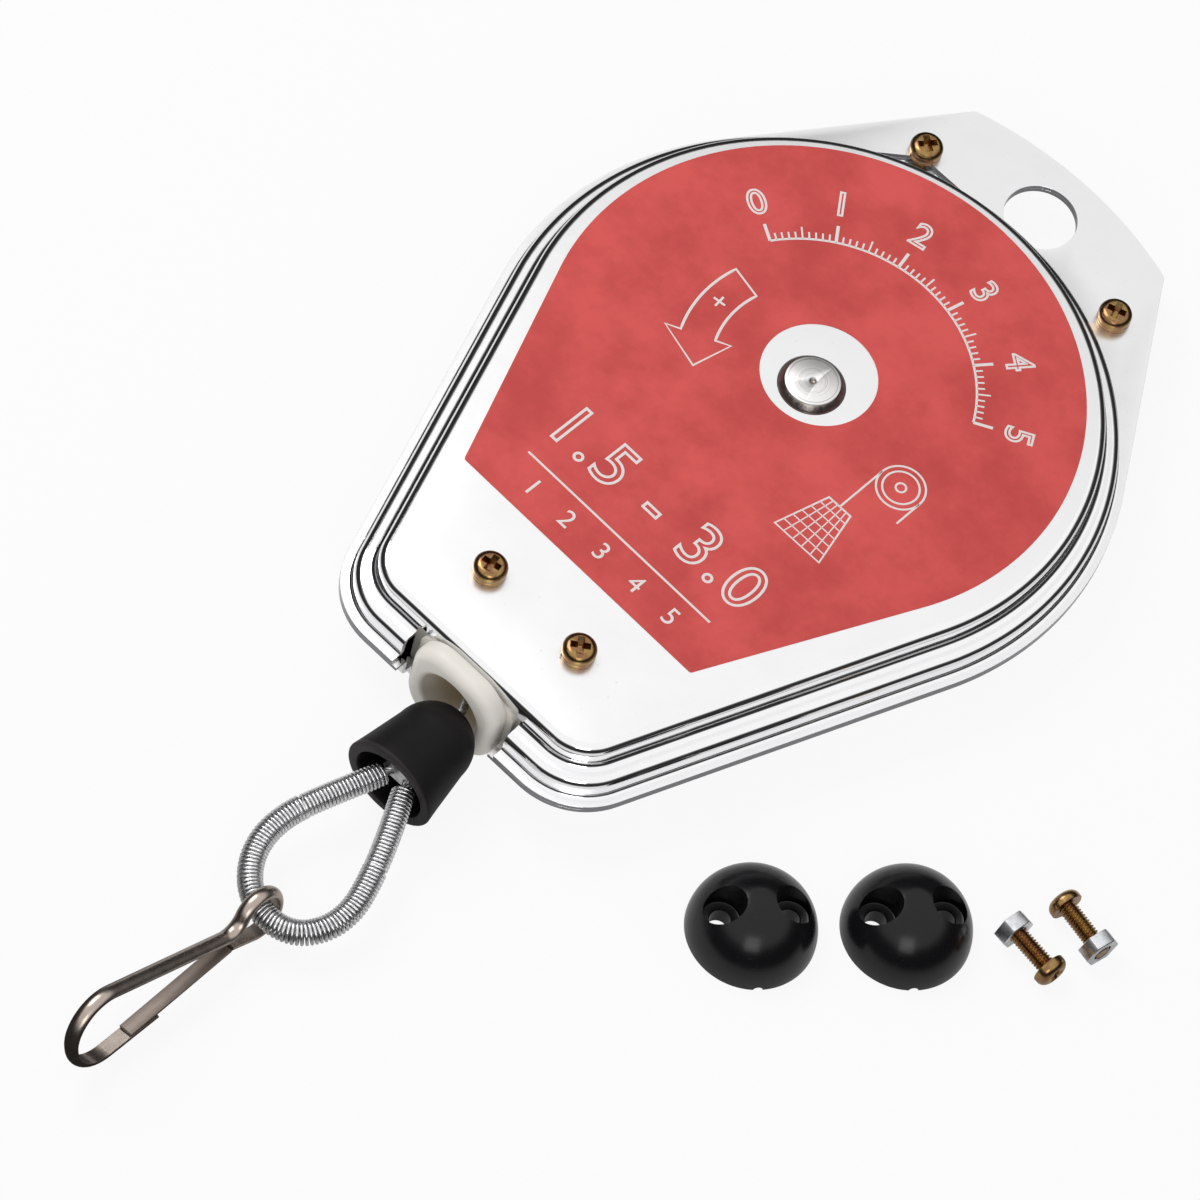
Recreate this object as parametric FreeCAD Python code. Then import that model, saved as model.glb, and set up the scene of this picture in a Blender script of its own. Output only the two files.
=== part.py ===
"""Small spring balancer lying on its back, with its loose stop ball kit beside it.

Lengths are in millimetres. The drum axle is the Z axis while the pieces are drawn, the joint plane
of the two covers is Z = 0, the hanging tab points along +Y, and the front face looks along +Z.
Each piece is moved on saving so that the centre of the hanging hole is the origin.
"""
import FreeCAD, Part
import math
import os

Vector = FreeCAD.Vector

# Covers: two pressings with one outline, the hull of a large circle and two corner circles
sheet = 1.0
face_radius = 62.0
corner_radius = 10.8
corner_half_spacing = 21.9
axle_to_corner = 89.2
cover_depth = 12.1
bead_height = 6.0
bead_width = 4.2
flange_width = 2.4
face_edge_round = 2.0
bead_edge_round = 2.0
cove_round = 1.6
flange_round = 0.9

# Hanging tab
hole_beyond_face = 13.0
hang_hole_radius = 8.0
tab_half_width = 27.4
tab_top_above_hole = 13.7
tab_corner_round = 1.2

# Fasteners of the case, metric 4 pan heads with spring washers
screw_radius = 2.0
screw_hole_radius = 2.2
head_radius = 3.6
head_height = 2.6
head_round = 1.7
recess_length = 4.2
recess_width = 1.1
recess_depth = 1.5
washer_thickness = 1.0
washer_radius = 3.6
washer_split = 0.6
nut_flats = 7.0
nut_height = 3.2
thread_clearance = 0.05
case_screw_half_spacing = 12.5
axle_to_case_screws = 82.7
tab_screw_half_spacing = 27.3
tab_screws_below_hole = 7.0
tab_screw_length = 8.0
spacer_radius = 3.1

# Label on the front face
label_thickness = 0.15
label_radius = 57.0
label_corner_half_spacing = 32.0
label_corner_drop = 69.4
label_corner_round = 0.6
label_hole_radius = 12.4
label_centre = (-0.9, 1.9)
label_hole_centre = (-0.7, 3.0)
label_turn = -0.9

# Shaft and bearings
shaft_radius = 7.1
shaft_stands_out = 1.7
shaft_top_radius = 5.9
shaft_cone_height = 1.5
running_clearance = 0.05
end_play = 0.1
front_bearing_radius = 11.0
rear_bearing_radius = 11.0
bearing_flange = 1.0
bearing_wall = 1.8
key_flats = 6.0
key_depth = 6.0

# Well in the rear cover that holds the ratchet
well_radius = 23.0
well_depth = 5.0
well_mouth_round = 0.8
journal_radius = 5.0
journal_flats = 8.6
ratchet_teeth = 12
ratchet_tip_radius = 10.0
ratchet_root_radius = 8.0
ratchet_thickness = 2.3
ratchet_floor_gap = 0.3
clip_thickness = 0.8
clip_radius = 7.0
clip_groove_radius = 4.6
pawl_pivot_radius = 19.4
pawl_pivot_angle = 46.0
pawl_eye_radius = 2.6
pawl_nose_radius = 0.6
pawl_nose_angle = 7.0
pawl_nose_height = 0.96
pawl_thickness = 2.1
pawl_pin_radius = 1.5
pawl_pin_head_radius = 2.6
rivet_height = 0.7
spring_post_radius = 1.2
spring_post_angle = -5.0
spring_post_distance = 19.0
pawl_spring_thickness = 0.4
pawl_spring_gap = 0.12

# Drum, cable and power spring; a little over five turns of cable make the stroke of 1.3 m
wrap_radius = 40.0
cable_radius = 1.0
wound_turns = 6
turn_pitch = 2.05
drum_flange_radius = 45.0
drum_flange = 1.2
drum_web = 2.2
drum_wall = 3.0
drum_cover_thickness = 1.0
drum_screw_count = 3
drum_screw_radius = 1.25
drum_screw_head_radius = 2.4
drum_boss_radius = 3.0
arbor_wall = 2.6
arbor_pin_radius = 1.25
spring_thickness = 0.5
spring_to_wall = 6.78
spring_edge_gap = 0.4
spring_turns = 10
anchor_pin_radius = 1.4
anchor_ferrule_radius = 1.7
anchor_ferrule_length = 5.0
cable_seat_gap = 0.02

# Bell mouth bush
opening_half_width = 14.3
rear_opening_half_width = 12.9
opening_half_height = 7.7
bush_lip_half_width = 11.5
bush_lip_half_height = 11.8
bush_lip_corner = 8.0
bush_lip_thickness = 4.6
bush_lip_round = 2.4
bush_throat_radius = 4.2
bush_mouth_radius = 7.6
bush_neck_gap = 0.1
bush_neck_corner = 3.0
bush_flange_corner = 4.0
bush_inner_flange = 1.6
bush_flange_below_face = 2.6
bush_seat_gap = 0.1

# Rubber stopper at the end of the cable, in its own frame from the centre of its dome
stopper_side = 3.7
stopper_below_case = 13.4
stopper_below_joint = 0.7
stopper_turn = 3.2
stopper_droop = 2.2
dome_radius = 8.8
stopper_rim_radius = 10.8
stopper_length = 12.8
stopper_rim_round = 0.5
hollow_radius = 8.4
hollow_depth = 11.0
stopper_bore_clearance = 0.25
stopper_flare_radius = 2.6
stopper_flare_depth = 3.0
ferrule_width = 7.6
ferrule_thickness = 4.6
ferrule_length = 8.0
ferrule_bore_depth = 5.0
loop_in_ferrule = 2.0

# Wire loop: hand-chosen points, sideways and beyond its start in the ferrule, sloping to the table
loop_slope = 0.11
loop_route = [
    (2.7, 0.0), (1.8, 3.4), (-0.5, 10.0), (-3.0, 17.0), (-4.8, 23.1), (-5.0, 29.7),
    (-2.7, 35.9), (2.3, 40.8), (9.1, 42.3), (15.0, 40.2), (18.3, 34.9), (18.8, 28.9),
    (16.9, 22.6), (14.1, 16.1), (10.9, 9.7), (7.5, 3.5), (5.8, 0.0)]
sleeve_ends = (1, 3, 12, 14)
sleeve_bore_clearance = 0.15
leg_sleeve_radius = 2.6
lower_sleeve_radius = 2.7

# Snap hook: one bent strip, drawn in its own plane from the neck towards the bend
hook_lean = 12.0
hook_width = 3.5
strip_thickness = 1.6
neck_to_bend_end = 42.8
lower_bend_radius = 9.0
lower_bend_height = 11.1
upper_bend_radius = 8.3
upper_bend_height = 11.9
nose_length = 13.1
nose_slope = 2.0
back_slope = 22.5
eye_radius = 5.5
neck_to_eye_centre = 8.2
eye_centre_height = 5.6
neck_round = 4.0
hook_side = 7.75
neck_beyond_loop_start = 51.0
neck_above_table = 1.25
gate_thickness = 0.7
gate_width = 3.3
gate_overlap = 7.1
gate_gap = 0.12
gate_root_height = 3.7
gate_root_offset = 1.0

# Loose stop ball halves with their screws and nuts
ball_radius = 13.5
ball_hole_half_spacing = 7.0
ball_hole_radius = 2.25
ball_counterbore_radius = 4.1
ball_seat_height = 4.4
ball_groove_radius = 0.95
ball_turn = 49.5
ball_centres = [(72.4, -89.1), (93.4, -65.4)]
kit_screw_length = 12.0
kit_screws = [((112.6, -38.4), -11.0, 8.8), ((118.9, -51.6), 173.5, 8.8)]

# Places worked out from the sizes above
hang_to_axle = face_radius + hole_beyond_face
axle_to_tab_screws = hang_to_axle - tab_screws_below_hole
flange_reach = bead_width + flange_width
foot_y = -(axle_to_corner + corner_radius)
table_z = -cover_depth
inside_z = cover_depth - sheet
well_floor_z = table_z + well_depth
well_inside_z = well_floor_z + sheet
drum_low_z = well_inside_z + bearing_flange + end_play
groove_width = wound_turns * turn_pitch + 0.2
drum_high_z = drum_low_z + groove_width + 2 * drum_flange
groove_radius = wrap_radius - cable_radius - cable_seat_gap
cavity_radius = groove_radius - drum_wall
cavity_low_z = drum_low_z + drum_web
cavity_high_z = drum_high_z - drum_cover_thickness
arbor_radius = shaft_radius + running_clearance + arbor_wall
spring_start = arbor_radius + spring_thickness / 2 + 0.15
spring_pitch = 2 * (cavity_radius - spring_to_wall - spring_start) / (2 * spring_turns - 1)
journal_low_z = table_z + 0.6
ratchet_high_z = well_floor_z - ratchet_floor_gap
ratchet_low_z = ratchet_high_z - ratchet_thickness
first_turn_z = drum_low_z + drum_flange + 0.1 + turn_pitch / 2
leaving_turn = 1
leaving_z = first_turn_z + leaving_turn * turn_pitch
lip_back_y = foot_y - 0.4
lip_front_y = lip_back_y - bush_lip_thickness
throat_y = foot_y + 3.0
mouth_y = foot_y - 1.0
dome_centre = Vector(stopper_side, foot_y - stopper_below_case, -stopper_below_joint)
ferrule_start = stopper_length - hollow_depth + 0.1
loop_start_y = dome_centre.y - ferrule_start - ferrule_length + loop_in_ferrule


def disc(radius, low_z, high_z, x=0.0, y=0.0):
    """Upright round solid between two heights."""
    return Part.makeCylinder(radius, high_z - low_z, Vector(x, y, low_z))


def ring(inner, outer, low_z, high_z, x=0.0, y=0.0):
    """Upright tube between two heights."""
    return disc(outer, low_z, high_z, x, y).cut(disc(inner, low_z - 1, high_z + 1, x, y))


def block(x0, x1, y0, y1, z0, z1):
    """Box between two corners."""
    return Part.makeBox(x1 - x0, y1 - y0, z1 - z0, Vector(x0, y0, z0))


def polar(radius, degrees, z=0.0):
    """Point at a distance and an angle from the axle."""
    turn = math.radians(degrees)
    return Vector(radius * math.cos(turn), radius * math.sin(turn), z)


def polygon(points):
    """Closed flat wire through points."""
    return Part.makePolygon(list(points) + [points[0]])


def prism(wire, low_z, high_z):
    """Upright solid on a flat wire drawn at height 0."""
    face = Part.Face(wire)
    face.translate(Vector(0, 0, low_z))
    return face.extrude(Vector(0, 0, high_z - low_z))


def hull_wire(circles):
    """Tangent outline round circles (x, y, radius) given anticlockwise."""
    normals = []
    for (xa, ya, ra), (xb, yb, rb) in zip(circles, circles[1:] + circles[:1]):
        heading = math.atan2(yb - ya, xb - xa)
        normals.append(heading - math.acos((ra - rb) / math.hypot(xb - xa, yb - ya)))
    edges = []
    count = len(circles)
    for i, (x, y, r) in enumerate(circles):
        start = normals[i - 1]
        sweep = (normals[i] - start) % (2 * math.pi)
        on_arc = [Vector(x + r * math.cos(start + sweep * k / 2), y + r * math.sin(start + sweep * k / 2), 0)
                  for k in range(3)]
        edges.append(Part.Arc(*on_arc).toShape())
        xn, yn, rn = circles[(i + 1) % count]
        ahead = Vector(xn + rn * math.cos(normals[i]), yn + rn * math.sin(normals[i]), 0)
        edges.append(Part.LineSegment(on_arc[2], ahead).toShape())
    return Part.Wire(edges)


def outline(offset):
    """Outline of the case, a distance outside the edge of its face."""
    corner = corner_radius + offset
    return hull_wire([(0, 0, face_radius + offset),
                      (-corner_half_spacing, -axle_to_corner, corner),
                      (corner_half_spacing, -axle_to_corner, corner)])


def edges_at(shape, height, wire=None):
    """Level edges of a shape at one height, only those on a wire if one is given."""
    found = []
    for edge in shape.Edges:
        bounds = edge.BoundBox
        if abs(bounds.ZMin - height) > 1e-4 or abs(bounds.ZMax - height) > 1e-4:
            continue
        if wire is not None:
            middle = edge.valueAt((edge.FirstParameter + edge.LastParameter) / 2)
            if wire.distToShape(Part.Vertex(middle))[0] > 1e-3:
                continue
        found.append(edge)
    return found


def stepped_form(inset):
    """Pressed form of one cover, inset by a sheet for its inside."""
    top = cover_depth - inset
    step = bead_height - inset
    lower = prism(outline(bead_width - inset), 0, step)
    lower = lower.makeFillet(bead_edge_round - inset * 0.5, edges_at(lower, step))
    upper = prism(outline(-inset), 0, top)
    form = lower.fuse(upper)
    joint_line = outline(-inset)
    joint_line.translate(Vector(0, 0, step))
    form = form.makeFillet(cove_round, edges_at(form, step, joint_line))
    return form.makeFillet(face_edge_round - inset * 0.5, edges_at(form, top))


def tab_plate(high_z):
    """Flange ring filled in, with the hanging tab, from the joint plane to a height."""
    reach = face_radius + bead_width + flange_width
    tab_top = hang_to_axle + tab_top_above_hole
    corner_y = math.sqrt(tab_top ** 2 - tab_half_width ** 2)
    corner_turn = math.degrees(math.atan2(corner_y, tab_half_width))
    touch_turn = corner_turn - math.degrees(math.acos(reach / tab_top))
    right = Vector(tab_half_width, corner_y, 0)
    left = Vector(-tab_half_width, corner_y, 0)
    right_foot = polar(reach, touch_turn)
    left_foot = polar(reach, 180 - touch_turn)
    edges = [Part.Arc(right, Vector(0, tab_top, 0), left).toShape(),
             Part.LineSegment(left, left_foot).toShape(),
             Part.LineSegment(left_foot, right_foot).toShape(),
             Part.LineSegment(right_foot, right).toShape()]
    tab = prism(Part.Wire(edges), 0, high_z)
    corners = [edge for edge in tab.Edges
               if edge.BoundBox.YMin > corner_y - 0.1 and edge.BoundBox.ZLength > high_z / 2]
    tab = tab.makeFillet(tab_corner_round, corners)
    return prism(outline(bead_width + flange_width), 0, high_z).fuse(tab)


def cover_shell():
    """One pressed cover, face up, with every hole that both covers have."""
    plate = tab_plate(sheet)
    body = plate.fuse(stepped_form(0.0)).removeSplitter()
    foot_line = outline(bead_width)
    foot_line.translate(Vector(0, 0, sheet))
    body = body.makeFillet(flange_round, edges_at(body, sheet, foot_line))
    inner = stepped_form(sheet)
    skirt = prism(outline(bead_width - sheet), -1, 0.5)
    body = body.cut(inner.fuse(skirt))
    body = body.cut(disc(hang_hole_radius, -1, sheet + 1, 0, hang_to_axle))
    for side in (-1, 1):
        hole = disc(screw_hole_radius, -1, sheet + 1, side * tab_screw_half_spacing, axle_to_tab_screws)
        body = body.cut(hole)
    return body


def front_cover():
    """Front pressing with its shaft hole, screw holes and cable opening."""
    body = cover_shell()
    body = body.cut(disc(shaft_radius + end_play, 0, cover_depth + 1))
    for side in (-1, 1):
        hole = disc(screw_hole_radius, 0, cover_depth + 1, side * case_screw_half_spacing,
                    -axle_to_case_screws)
        body = body.cut(hole)
    opening = block(-opening_half_width, opening_half_width, foot_y - flange_reach - 1, foot_y + 3,
                    -1, opening_half_height)
    return body.cut(opening)


def rear_cover():
    """Rear pressing: the same form turned over, with a well for the ratchet."""
    body = cover_shell().mirror(Vector(0, 0, 0), Vector(0, 0, 1))
    tub = disc(well_radius + sheet, table_z + sheet / 2, well_inside_z)
    body = body.fuse(tub).cut(disc(well_radius, table_z - 1, well_floor_z))
    mouth = Part.Wire([Part.Circle(Vector(0, 0, table_z), Vector(0, 0, 1), well_radius).toShape()])
    body = body.makeFillet(well_mouth_round, edges_at(body, table_z, mouth))
    body = body.cut(disc(shaft_radius + running_clearance + bearing_wall, table_z, well_inside_z + 1))
    for place, radius in ((pawl_pivot(), pawl_pin_radius), (spring_post(), spring_post_radius)):
        body = body.cut(disc(radius, table_z, well_inside_z + 1, place.x, place.y))
    opening = block(-rear_opening_half_width, rear_opening_half_width, foot_y - flange_reach - 1, foot_y + 3,
                    -opening_half_height, 1)
    return body.cut(opening)


def front_label():
    """Thin sticker on the face, round above and straight-sided below, with a hole for the shaft."""
    shape = hull_wire([(0, 0, label_radius),
                       (-label_corner_half_spacing, -label_corner_drop, label_corner_round),
                       (label_corner_half_spacing, -label_corner_drop, label_corner_round)])
    sticker = prism(shape, cover_depth, cover_depth + label_thickness)
    sticker.rotate(Vector(0, 0, 0), Vector(0, 0, 1), label_turn)
    sticker.translate(Vector(label_centre[0], label_centre[1], 0))
    return sticker.cut(disc(label_hole_radius, 0, cover_depth + 2, *label_hole_centre))


def pan_screw(length):
    """Pan-head screw, its head seated on Z = 0 and its shank pointing down."""
    head = disc(head_radius, 0, head_height)
    head = head.makeFillet(head_round, edges_at(head, head_height))
    low = head_height - recess_depth
    for x, y in ((recess_length, recess_width), (recess_width, recess_length)):
        head = head.cut(block(-x / 2, x / 2, -y / 2, y / 2, low, head_height + 1))
    return head.fuse(disc(screw_radius, -length, 0)).removeSplitter()


def spring_washer():
    """Split washer that lies on Z = 0."""
    washer = ring(screw_radius + thread_clearance, washer_radius, 0, washer_thickness)
    return washer.cut(block(0, washer_radius + 1, -washer_split / 2, washer_split / 2, -1, 3))


def hex_nut():
    """Hexagon nut that lies on Z = 0."""
    corner = nut_flats / math.sqrt(3)
    nut = prism(polygon([polar(corner, 60 * i) for i in range(6)]), 0, nut_height)
    bevel = Part.makeCone(corner + 0.6, corner - 0.35, nut_height + 0.0, Vector(0, 0, nut_height / 2))
    rounded = disc(corner + 1, 0, nut_height / 2).fuse(bevel)
    nut = nut.common(rounded)
    return nut.cut(disc(screw_radius + thread_clearance, -1, nut_height + 1))


def at_each(shape, places):
    """Copies of a shape, as one group of separate solids."""
    copies = []
    for place in places:
        copy = shape.copy()
        copy.translate(place)
        copies.append(copy)
    return Part.makeCompound(copies)


def case_places(z):
    """The two lower screw places at a height."""
    return [Vector(side * case_screw_half_spacing, -axle_to_case_screws, z) for side in (-1, 1)]


def tab_places(z):
    """The two tab screw places at a height."""
    return [Vector(side * tab_screw_half_spacing, axle_to_tab_screws, z) for side in (-1, 1)]


def case_screws():
    """Screws that run from the front face to nuts on the rear cover."""
    length = washer_thickness + cover_depth + inside_z - 0.2
    return at_each(pan_screw(length), case_places(cover_depth + washer_thickness))


def tab_screws():
    """Screws that clamp the two sheets of the tab."""
    return at_each(pan_screw(tab_screw_length), tab_places(sheet + washer_thickness))


def spring_washers():
    """A split washer under each screw head."""
    return at_each(spring_washer(), case_places(cover_depth) + tab_places(sheet))


def case_nuts():
    """Nuts welded inside the rear cover."""
    return at_each(hex_nut(), case_places(-inside_z))


def tab_nuts():
    """Nuts behind the tab."""
    return at_each(hex_nut(), tab_places(-sheet - nut_height))


def case_spacers():
    """Sleeves that hold the covers apart round the case screws."""
    low = -inside_z + nut_height
    return at_each(ring(screw_hole_radius, spacer_radius, low, inside_z), case_places(0))


def drum_shaft():
    """Shaft with a turned front end, a flatted rear journal and a hexagon socket for the key."""
    top = cover_depth + shaft_stands_out
    cone_z = top - shaft_cone_height
    cone = Part.makeCone(shaft_radius, shaft_top_radius, shaft_cone_height, Vector(0, 0, cone_z))
    shaft = disc(shaft_radius, well_floor_z, cone_z).fuse(cone)
    shaft = shaft.cut(Part.makeCone(0, 0.9, 0.9, Vector(0, 0, top - 0.8)))
    journal = disc(journal_radius, journal_low_z, well_floor_z)
    journal = journal.common(block(-journal_radius, journal_radius, -journal_flats / 2, journal_flats / 2,
                                   journal_low_z, well_floor_z))
    groove_high = ratchet_low_z - running_clearance
    groove = ring(clip_groove_radius - 0.4, journal_radius + 1, groove_high - clip_thickness, groove_high)
    journal = journal.cut(groove)
    socket = polygon([polar(key_flats / math.sqrt(3), 60 * i) for i in range(6)])
    key = prism(socket, journal_low_z - 1, journal_low_z + key_depth)
    shaft = shaft.fuse(journal).cut(key)
    mid_z = (cavity_low_z + cavity_high_z) / 2
    bore = Part.makeCylinder(arbor_pin_radius, 2 * shaft_radius + 2, Vector(-shaft_radius - 1, 0, mid_z),
                             Vector(1, 0, 0))
    return shaft.cut(bore).removeSplitter()


def front_bearing():
    """Flanged ring under the front face that the shaft turns in."""
    return ring(shaft_radius + running_clearance, front_bearing_radius, drum_high_z + end_play, inside_z)


def rear_bearing():
    """Flanged bush in the floor of the well."""
    bore = shaft_radius + running_clearance
    sleeve = ring(bore, bore + bearing_wall, well_floor_z, well_inside_z)
    flange = ring(bore, rear_bearing_radius, well_inside_z, well_inside_z + bearing_flange)
    return sleeve.fuse(flange).removeSplitter()


def spring_arbor():
    """Sleeve pinned on the shaft, with a slot that the spring hooks into."""
    low = cavity_low_z + end_play
    high = cavity_high_z - end_play
    sleeve = ring(shaft_radius + running_clearance, arbor_radius, low, high)
    mid_z = (cavity_low_z + cavity_high_z) / 2
    bore = Part.makeCylinder(arbor_pin_radius, 2 * arbor_radius + 2, Vector(-arbor_radius - 1, 0, mid_z),
                             Vector(1, 0, 0))
    return sleeve.cut(bore)


def arbor_pin():
    """Cross pin through arbor and shaft."""
    mid_z = (cavity_low_z + cavity_high_z) / 2
    half = arbor_radius - 0.1
    return Part.makeCylinder(arbor_pin_radius - 0.02, 2 * half, Vector(-half, 0, mid_z), Vector(1, 0, 0))


def ratchet_wheel():
    """Saw-toothed wheel on the flatted journal, its steep sides facing anticlockwise."""
    step = 360.0 / ratchet_teeth
    points = []
    for i in range(ratchet_teeth):
        points.append(polar(ratchet_root_radius, i * step))
        points.append(polar(ratchet_tip_radius, (i + 1) * step))
    wheel = prism(polygon(points), ratchet_low_z, ratchet_high_z)
    hole = disc(journal_radius + running_clearance, ratchet_low_z - 1, ratchet_high_z + 1)
    flats = journal_flats / 2 + running_clearance
    between_flats = block(-shaft_radius, shaft_radius, -flats, flats, ratchet_low_z - 1, ratchet_high_z + 1)
    return wheel.cut(hole.common(between_flats))


def ratchet_clip():
    """Open ring in the journal groove that holds the ratchet wheel on."""
    high = ratchet_low_z - running_clearance * 2
    clip = ring(clip_groove_radius + running_clearance - 0.4, clip_radius, high - clip_thickness
                + running_clearance * 2, high)
    return clip.cut(block(0, clip_radius + 1, -1.8, 1.8, high - 2, high + 1))


def pawl_pivot():
    """Centre of the pawl pin."""
    return polar(pawl_pivot_radius, pawl_pivot_angle)


def pawl_nose():
    """Centre of the pawl's rounded nose, in a tooth gap of the wheel."""
    return polar(ratchet_root_radius + pawl_nose_height, pawl_nose_angle)


def spring_post():
    """Centre of the post that holds the pawl spring."""
    return polar(spring_post_distance, spring_post_angle)


def pawl():
    """Strut between the pivot and a tooth gap, loose on its pin."""
    nose = pawl_nose()
    pivot = pawl_pivot()
    shape = hull_wire([(nose.x, nose.y, pawl_nose_radius), (pivot.x, pivot.y, pawl_eye_radius)])
    low = ratchet_high_z - pawl_thickness
    strut = prism(shape, low, ratchet_high_z)
    hole = disc(pawl_pin_radius + running_clearance, low - 1, ratchet_high_z + 1, pivot.x, pivot.y)
    return strut.cut(hole)


def headed_pin(radius, head_radius_, place, head_low_z):
    """Pin riveted into the well floor, with a head below and a rivet above."""
    shank_top = well_inside_z + rivet_height
    pin = disc(radius, head_low_z, shank_top, place.x, place.y)
    head = disc(head_radius_, head_low_z, head_low_z + rivet_height, place.x, place.y)
    rivet = disc(radius + 0.7, well_inside_z, shank_top, place.x, place.y)
    return pin.fuse(head).fuse(rivet).removeSplitter()


def pawl_pin():
    """Pin that the pawl swings on."""
    head_low = ratchet_high_z - pawl_thickness - end_play - rivet_height
    return headed_pin(pawl_pin_radius, pawl_pin_head_radius, pawl_pivot(), head_low)


def pawl_spring_post():
    """Post that the pawl spring is wrapped round."""
    head_low = ratchet_high_z - pawl_thickness - end_play - rivet_height
    return headed_pin(spring_post_radius, spring_post_radius + 0.8, spring_post(), head_low)


def pawl_spring():
    """Leaf from the post to the back of the pawl."""
    post = spring_post()
    nose = pawl_nose()
    pivot = pawl_pivot()
    along = (pivot - nose).normalize()
    outward = Vector(along.y, -along.x, 0)
    share = 0.6
    reach = (pivot - nose).Length * share
    half_width = pawl_nose_radius + (pawl_eye_radius - pawl_nose_radius) * share
    touch = nose + along * reach + outward * (half_width + pawl_spring_gap + pawl_spring_thickness / 2)
    low = ratchet_high_z - pawl_thickness + 0.2
    high = ratchet_high_z - 0.2
    eye_in = spring_post_radius + running_clearance
    eye_out = eye_in + pawl_spring_thickness
    slim = pawl_spring_thickness / 2
    start = post + (touch - post).normalize() * eye_in
    leaf = prism(hull_wire([(start.x, start.y, slim), (touch.x, touch.y, slim)]), low, high)
    eye = disc(eye_out, low, high, post.x, post.y)
    whole = eye.fuse(leaf)
    return whole.cut(disc(eye_in, low - 1, high + 1, post.x, post.y)).removeSplitter()


def drum_screw_places():
    """Centres of the drum cover screws."""
    distance = cavity_radius - drum_boss_radius + 1.2
    return [polar(distance, 90 + 360.0 * i / drum_screw_count) for i in range(drum_screw_count)]


def cable_drum():
    """Moulded cup with a cable groove round it and bosses for the cover screws."""
    drum = disc(drum_flange_radius, drum_low_z, drum_high_z)
    drum = drum.cut(ring(groove_radius, drum_flange_radius + 1, drum_low_z + drum_flange,
                         drum_high_z - drum_flange))
    drum = drum.cut(disc(cavity_radius, cavity_low_z, drum_high_z + 1))
    drum = drum.cut(disc(shaft_radius + running_clearance + bearing_wall, drum_low_z - 1, cavity_low_z + 1))
    boss_high = cavity_high_z
    for place in drum_screw_places():
        boss = disc(drum_boss_radius, cavity_low_z - 0.5, boss_high, place.x, place.y)
        hole = disc(drum_screw_radius, cavity_low_z + 1, drum_high_z, place.x, place.y)
        sink = disc(drum_screw_head_radius + 0.1, drum_high_z - 0.7, drum_high_z + 1, place.x, place.y)
        drum = drum.fuse(boss.common(disc(cavity_radius + 0.5, drum_low_z, drum_high_z))).cut(hole).cut(sink)
    drum = drum.cut(anchor_pocket())
    return drum.removeSplitter()


def anchor_pocket():
    """Pocket in the groove floor for the cable's inner end."""
    turn = -150.0
    place = polar(groove_radius + 0.6, turn, first_turn_z)
    along = polar(1, turn + 90)
    half = anchor_ferrule_length / 2 + 0.3
    return Part.makeCylinder(anchor_ferrule_radius + 0.05, 2 * half, place - along * half, along)


def cable_anchor():
    """Crimped ferrule on the cable's inner end, in its pocket."""
    turn = -150.0
    place = polar(groove_radius + 0.6, turn, first_turn_z)
    along = polar(1, turn + 90)
    half = anchor_ferrule_length / 2
    ferrule = Part.makeCylinder(anchor_ferrule_radius, 2 * half, place - along * half, along)
    return ferrule.common(disc(wrap_radius - cable_radius - 0.05, drum_low_z, drum_high_z))


def drum_cover():
    """Disc that closes the spring cavity."""
    lid = ring(shaft_radius + running_clearance + bearing_wall, cavity_radius - running_clearance,
               cavity_high_z, drum_high_z)
    for place in drum_screw_places():
        lid = lid.cut(disc(drum_screw_radius + 0.1, cavity_high_z - 1, drum_high_z + 1, place.x, place.y))
        sink = disc(drum_screw_head_radius + 0.1, drum_high_z - 0.7, drum_high_z + 1, place.x, place.y)
        lid = lid.cut(sink)
    return lid


def drum_cover_screws():
    """Flush screws through the drum cover into the bosses."""
    shank = disc(drum_screw_radius - 0.02, cavity_low_z + 2.2, drum_high_z - 0.7)
    head = disc(drum_screw_head_radius, drum_high_z - 0.7, drum_high_z)
    head = head.cut(block(-2, 2, -0.3, 0.3, drum_high_z - 0.4, drum_high_z + 1))
    return at_each(shank.fuse(head).removeSplitter(), drum_screw_places())


def drum_bearing(low, high):
    """Plain bush between the drum and the shaft."""
    bore = shaft_radius + running_clearance
    return ring(bore, bore + bearing_wall, low, high)


def spiral_centres(turns, start_radius):
    """Half circles, as (centre x, radius, upper), that join into a flat spiral."""
    halves = []
    for k in range(2 * turns):
        radius = start_radius + k * spring_pitch / 2
        centre = 0.0 if k % 2 == 0 else spring_pitch / 2
        halves.append((centre, radius, k % 2 == 0))
    return halves


def power_spring():
    """Flat coiled strip between the arbor and the drum wall."""
    low = cavity_low_z + spring_edge_gap
    high = cavity_high_z - spring_edge_gap
    outer_edges = []
    inner_edges = []
    for centre, radius, upper in spiral_centres(spring_turns, spring_start):
        sign = 1 if upper else -1
        for edges, r in ((outer_edges, radius + spring_thickness / 2),
                         (inner_edges, radius - spring_thickness / 2)):
            points = [Vector(centre + sign * r, 0, 0), Vector(centre, sign * r, 0),
                      Vector(centre - sign * r, 0, 0)]
            edges.append(Part.Arc(*points).toShape())
    begin = Part.LineSegment(inner_edges[0].valueAt(inner_edges[0].FirstParameter),
                             outer_edges[0].valueAt(outer_edges[0].FirstParameter)).toShape()
    end = Part.LineSegment(outer_edges[-1].valueAt(outer_edges[-1].LastParameter),
                           inner_edges[-1].valueAt(inner_edges[-1].LastParameter)).toShape()
    wire = Part.Wire(Part.__sortEdges__(outer_edges + [end] + inner_edges[::-1] + [begin]))
    return prism(wire, low, high)


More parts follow.
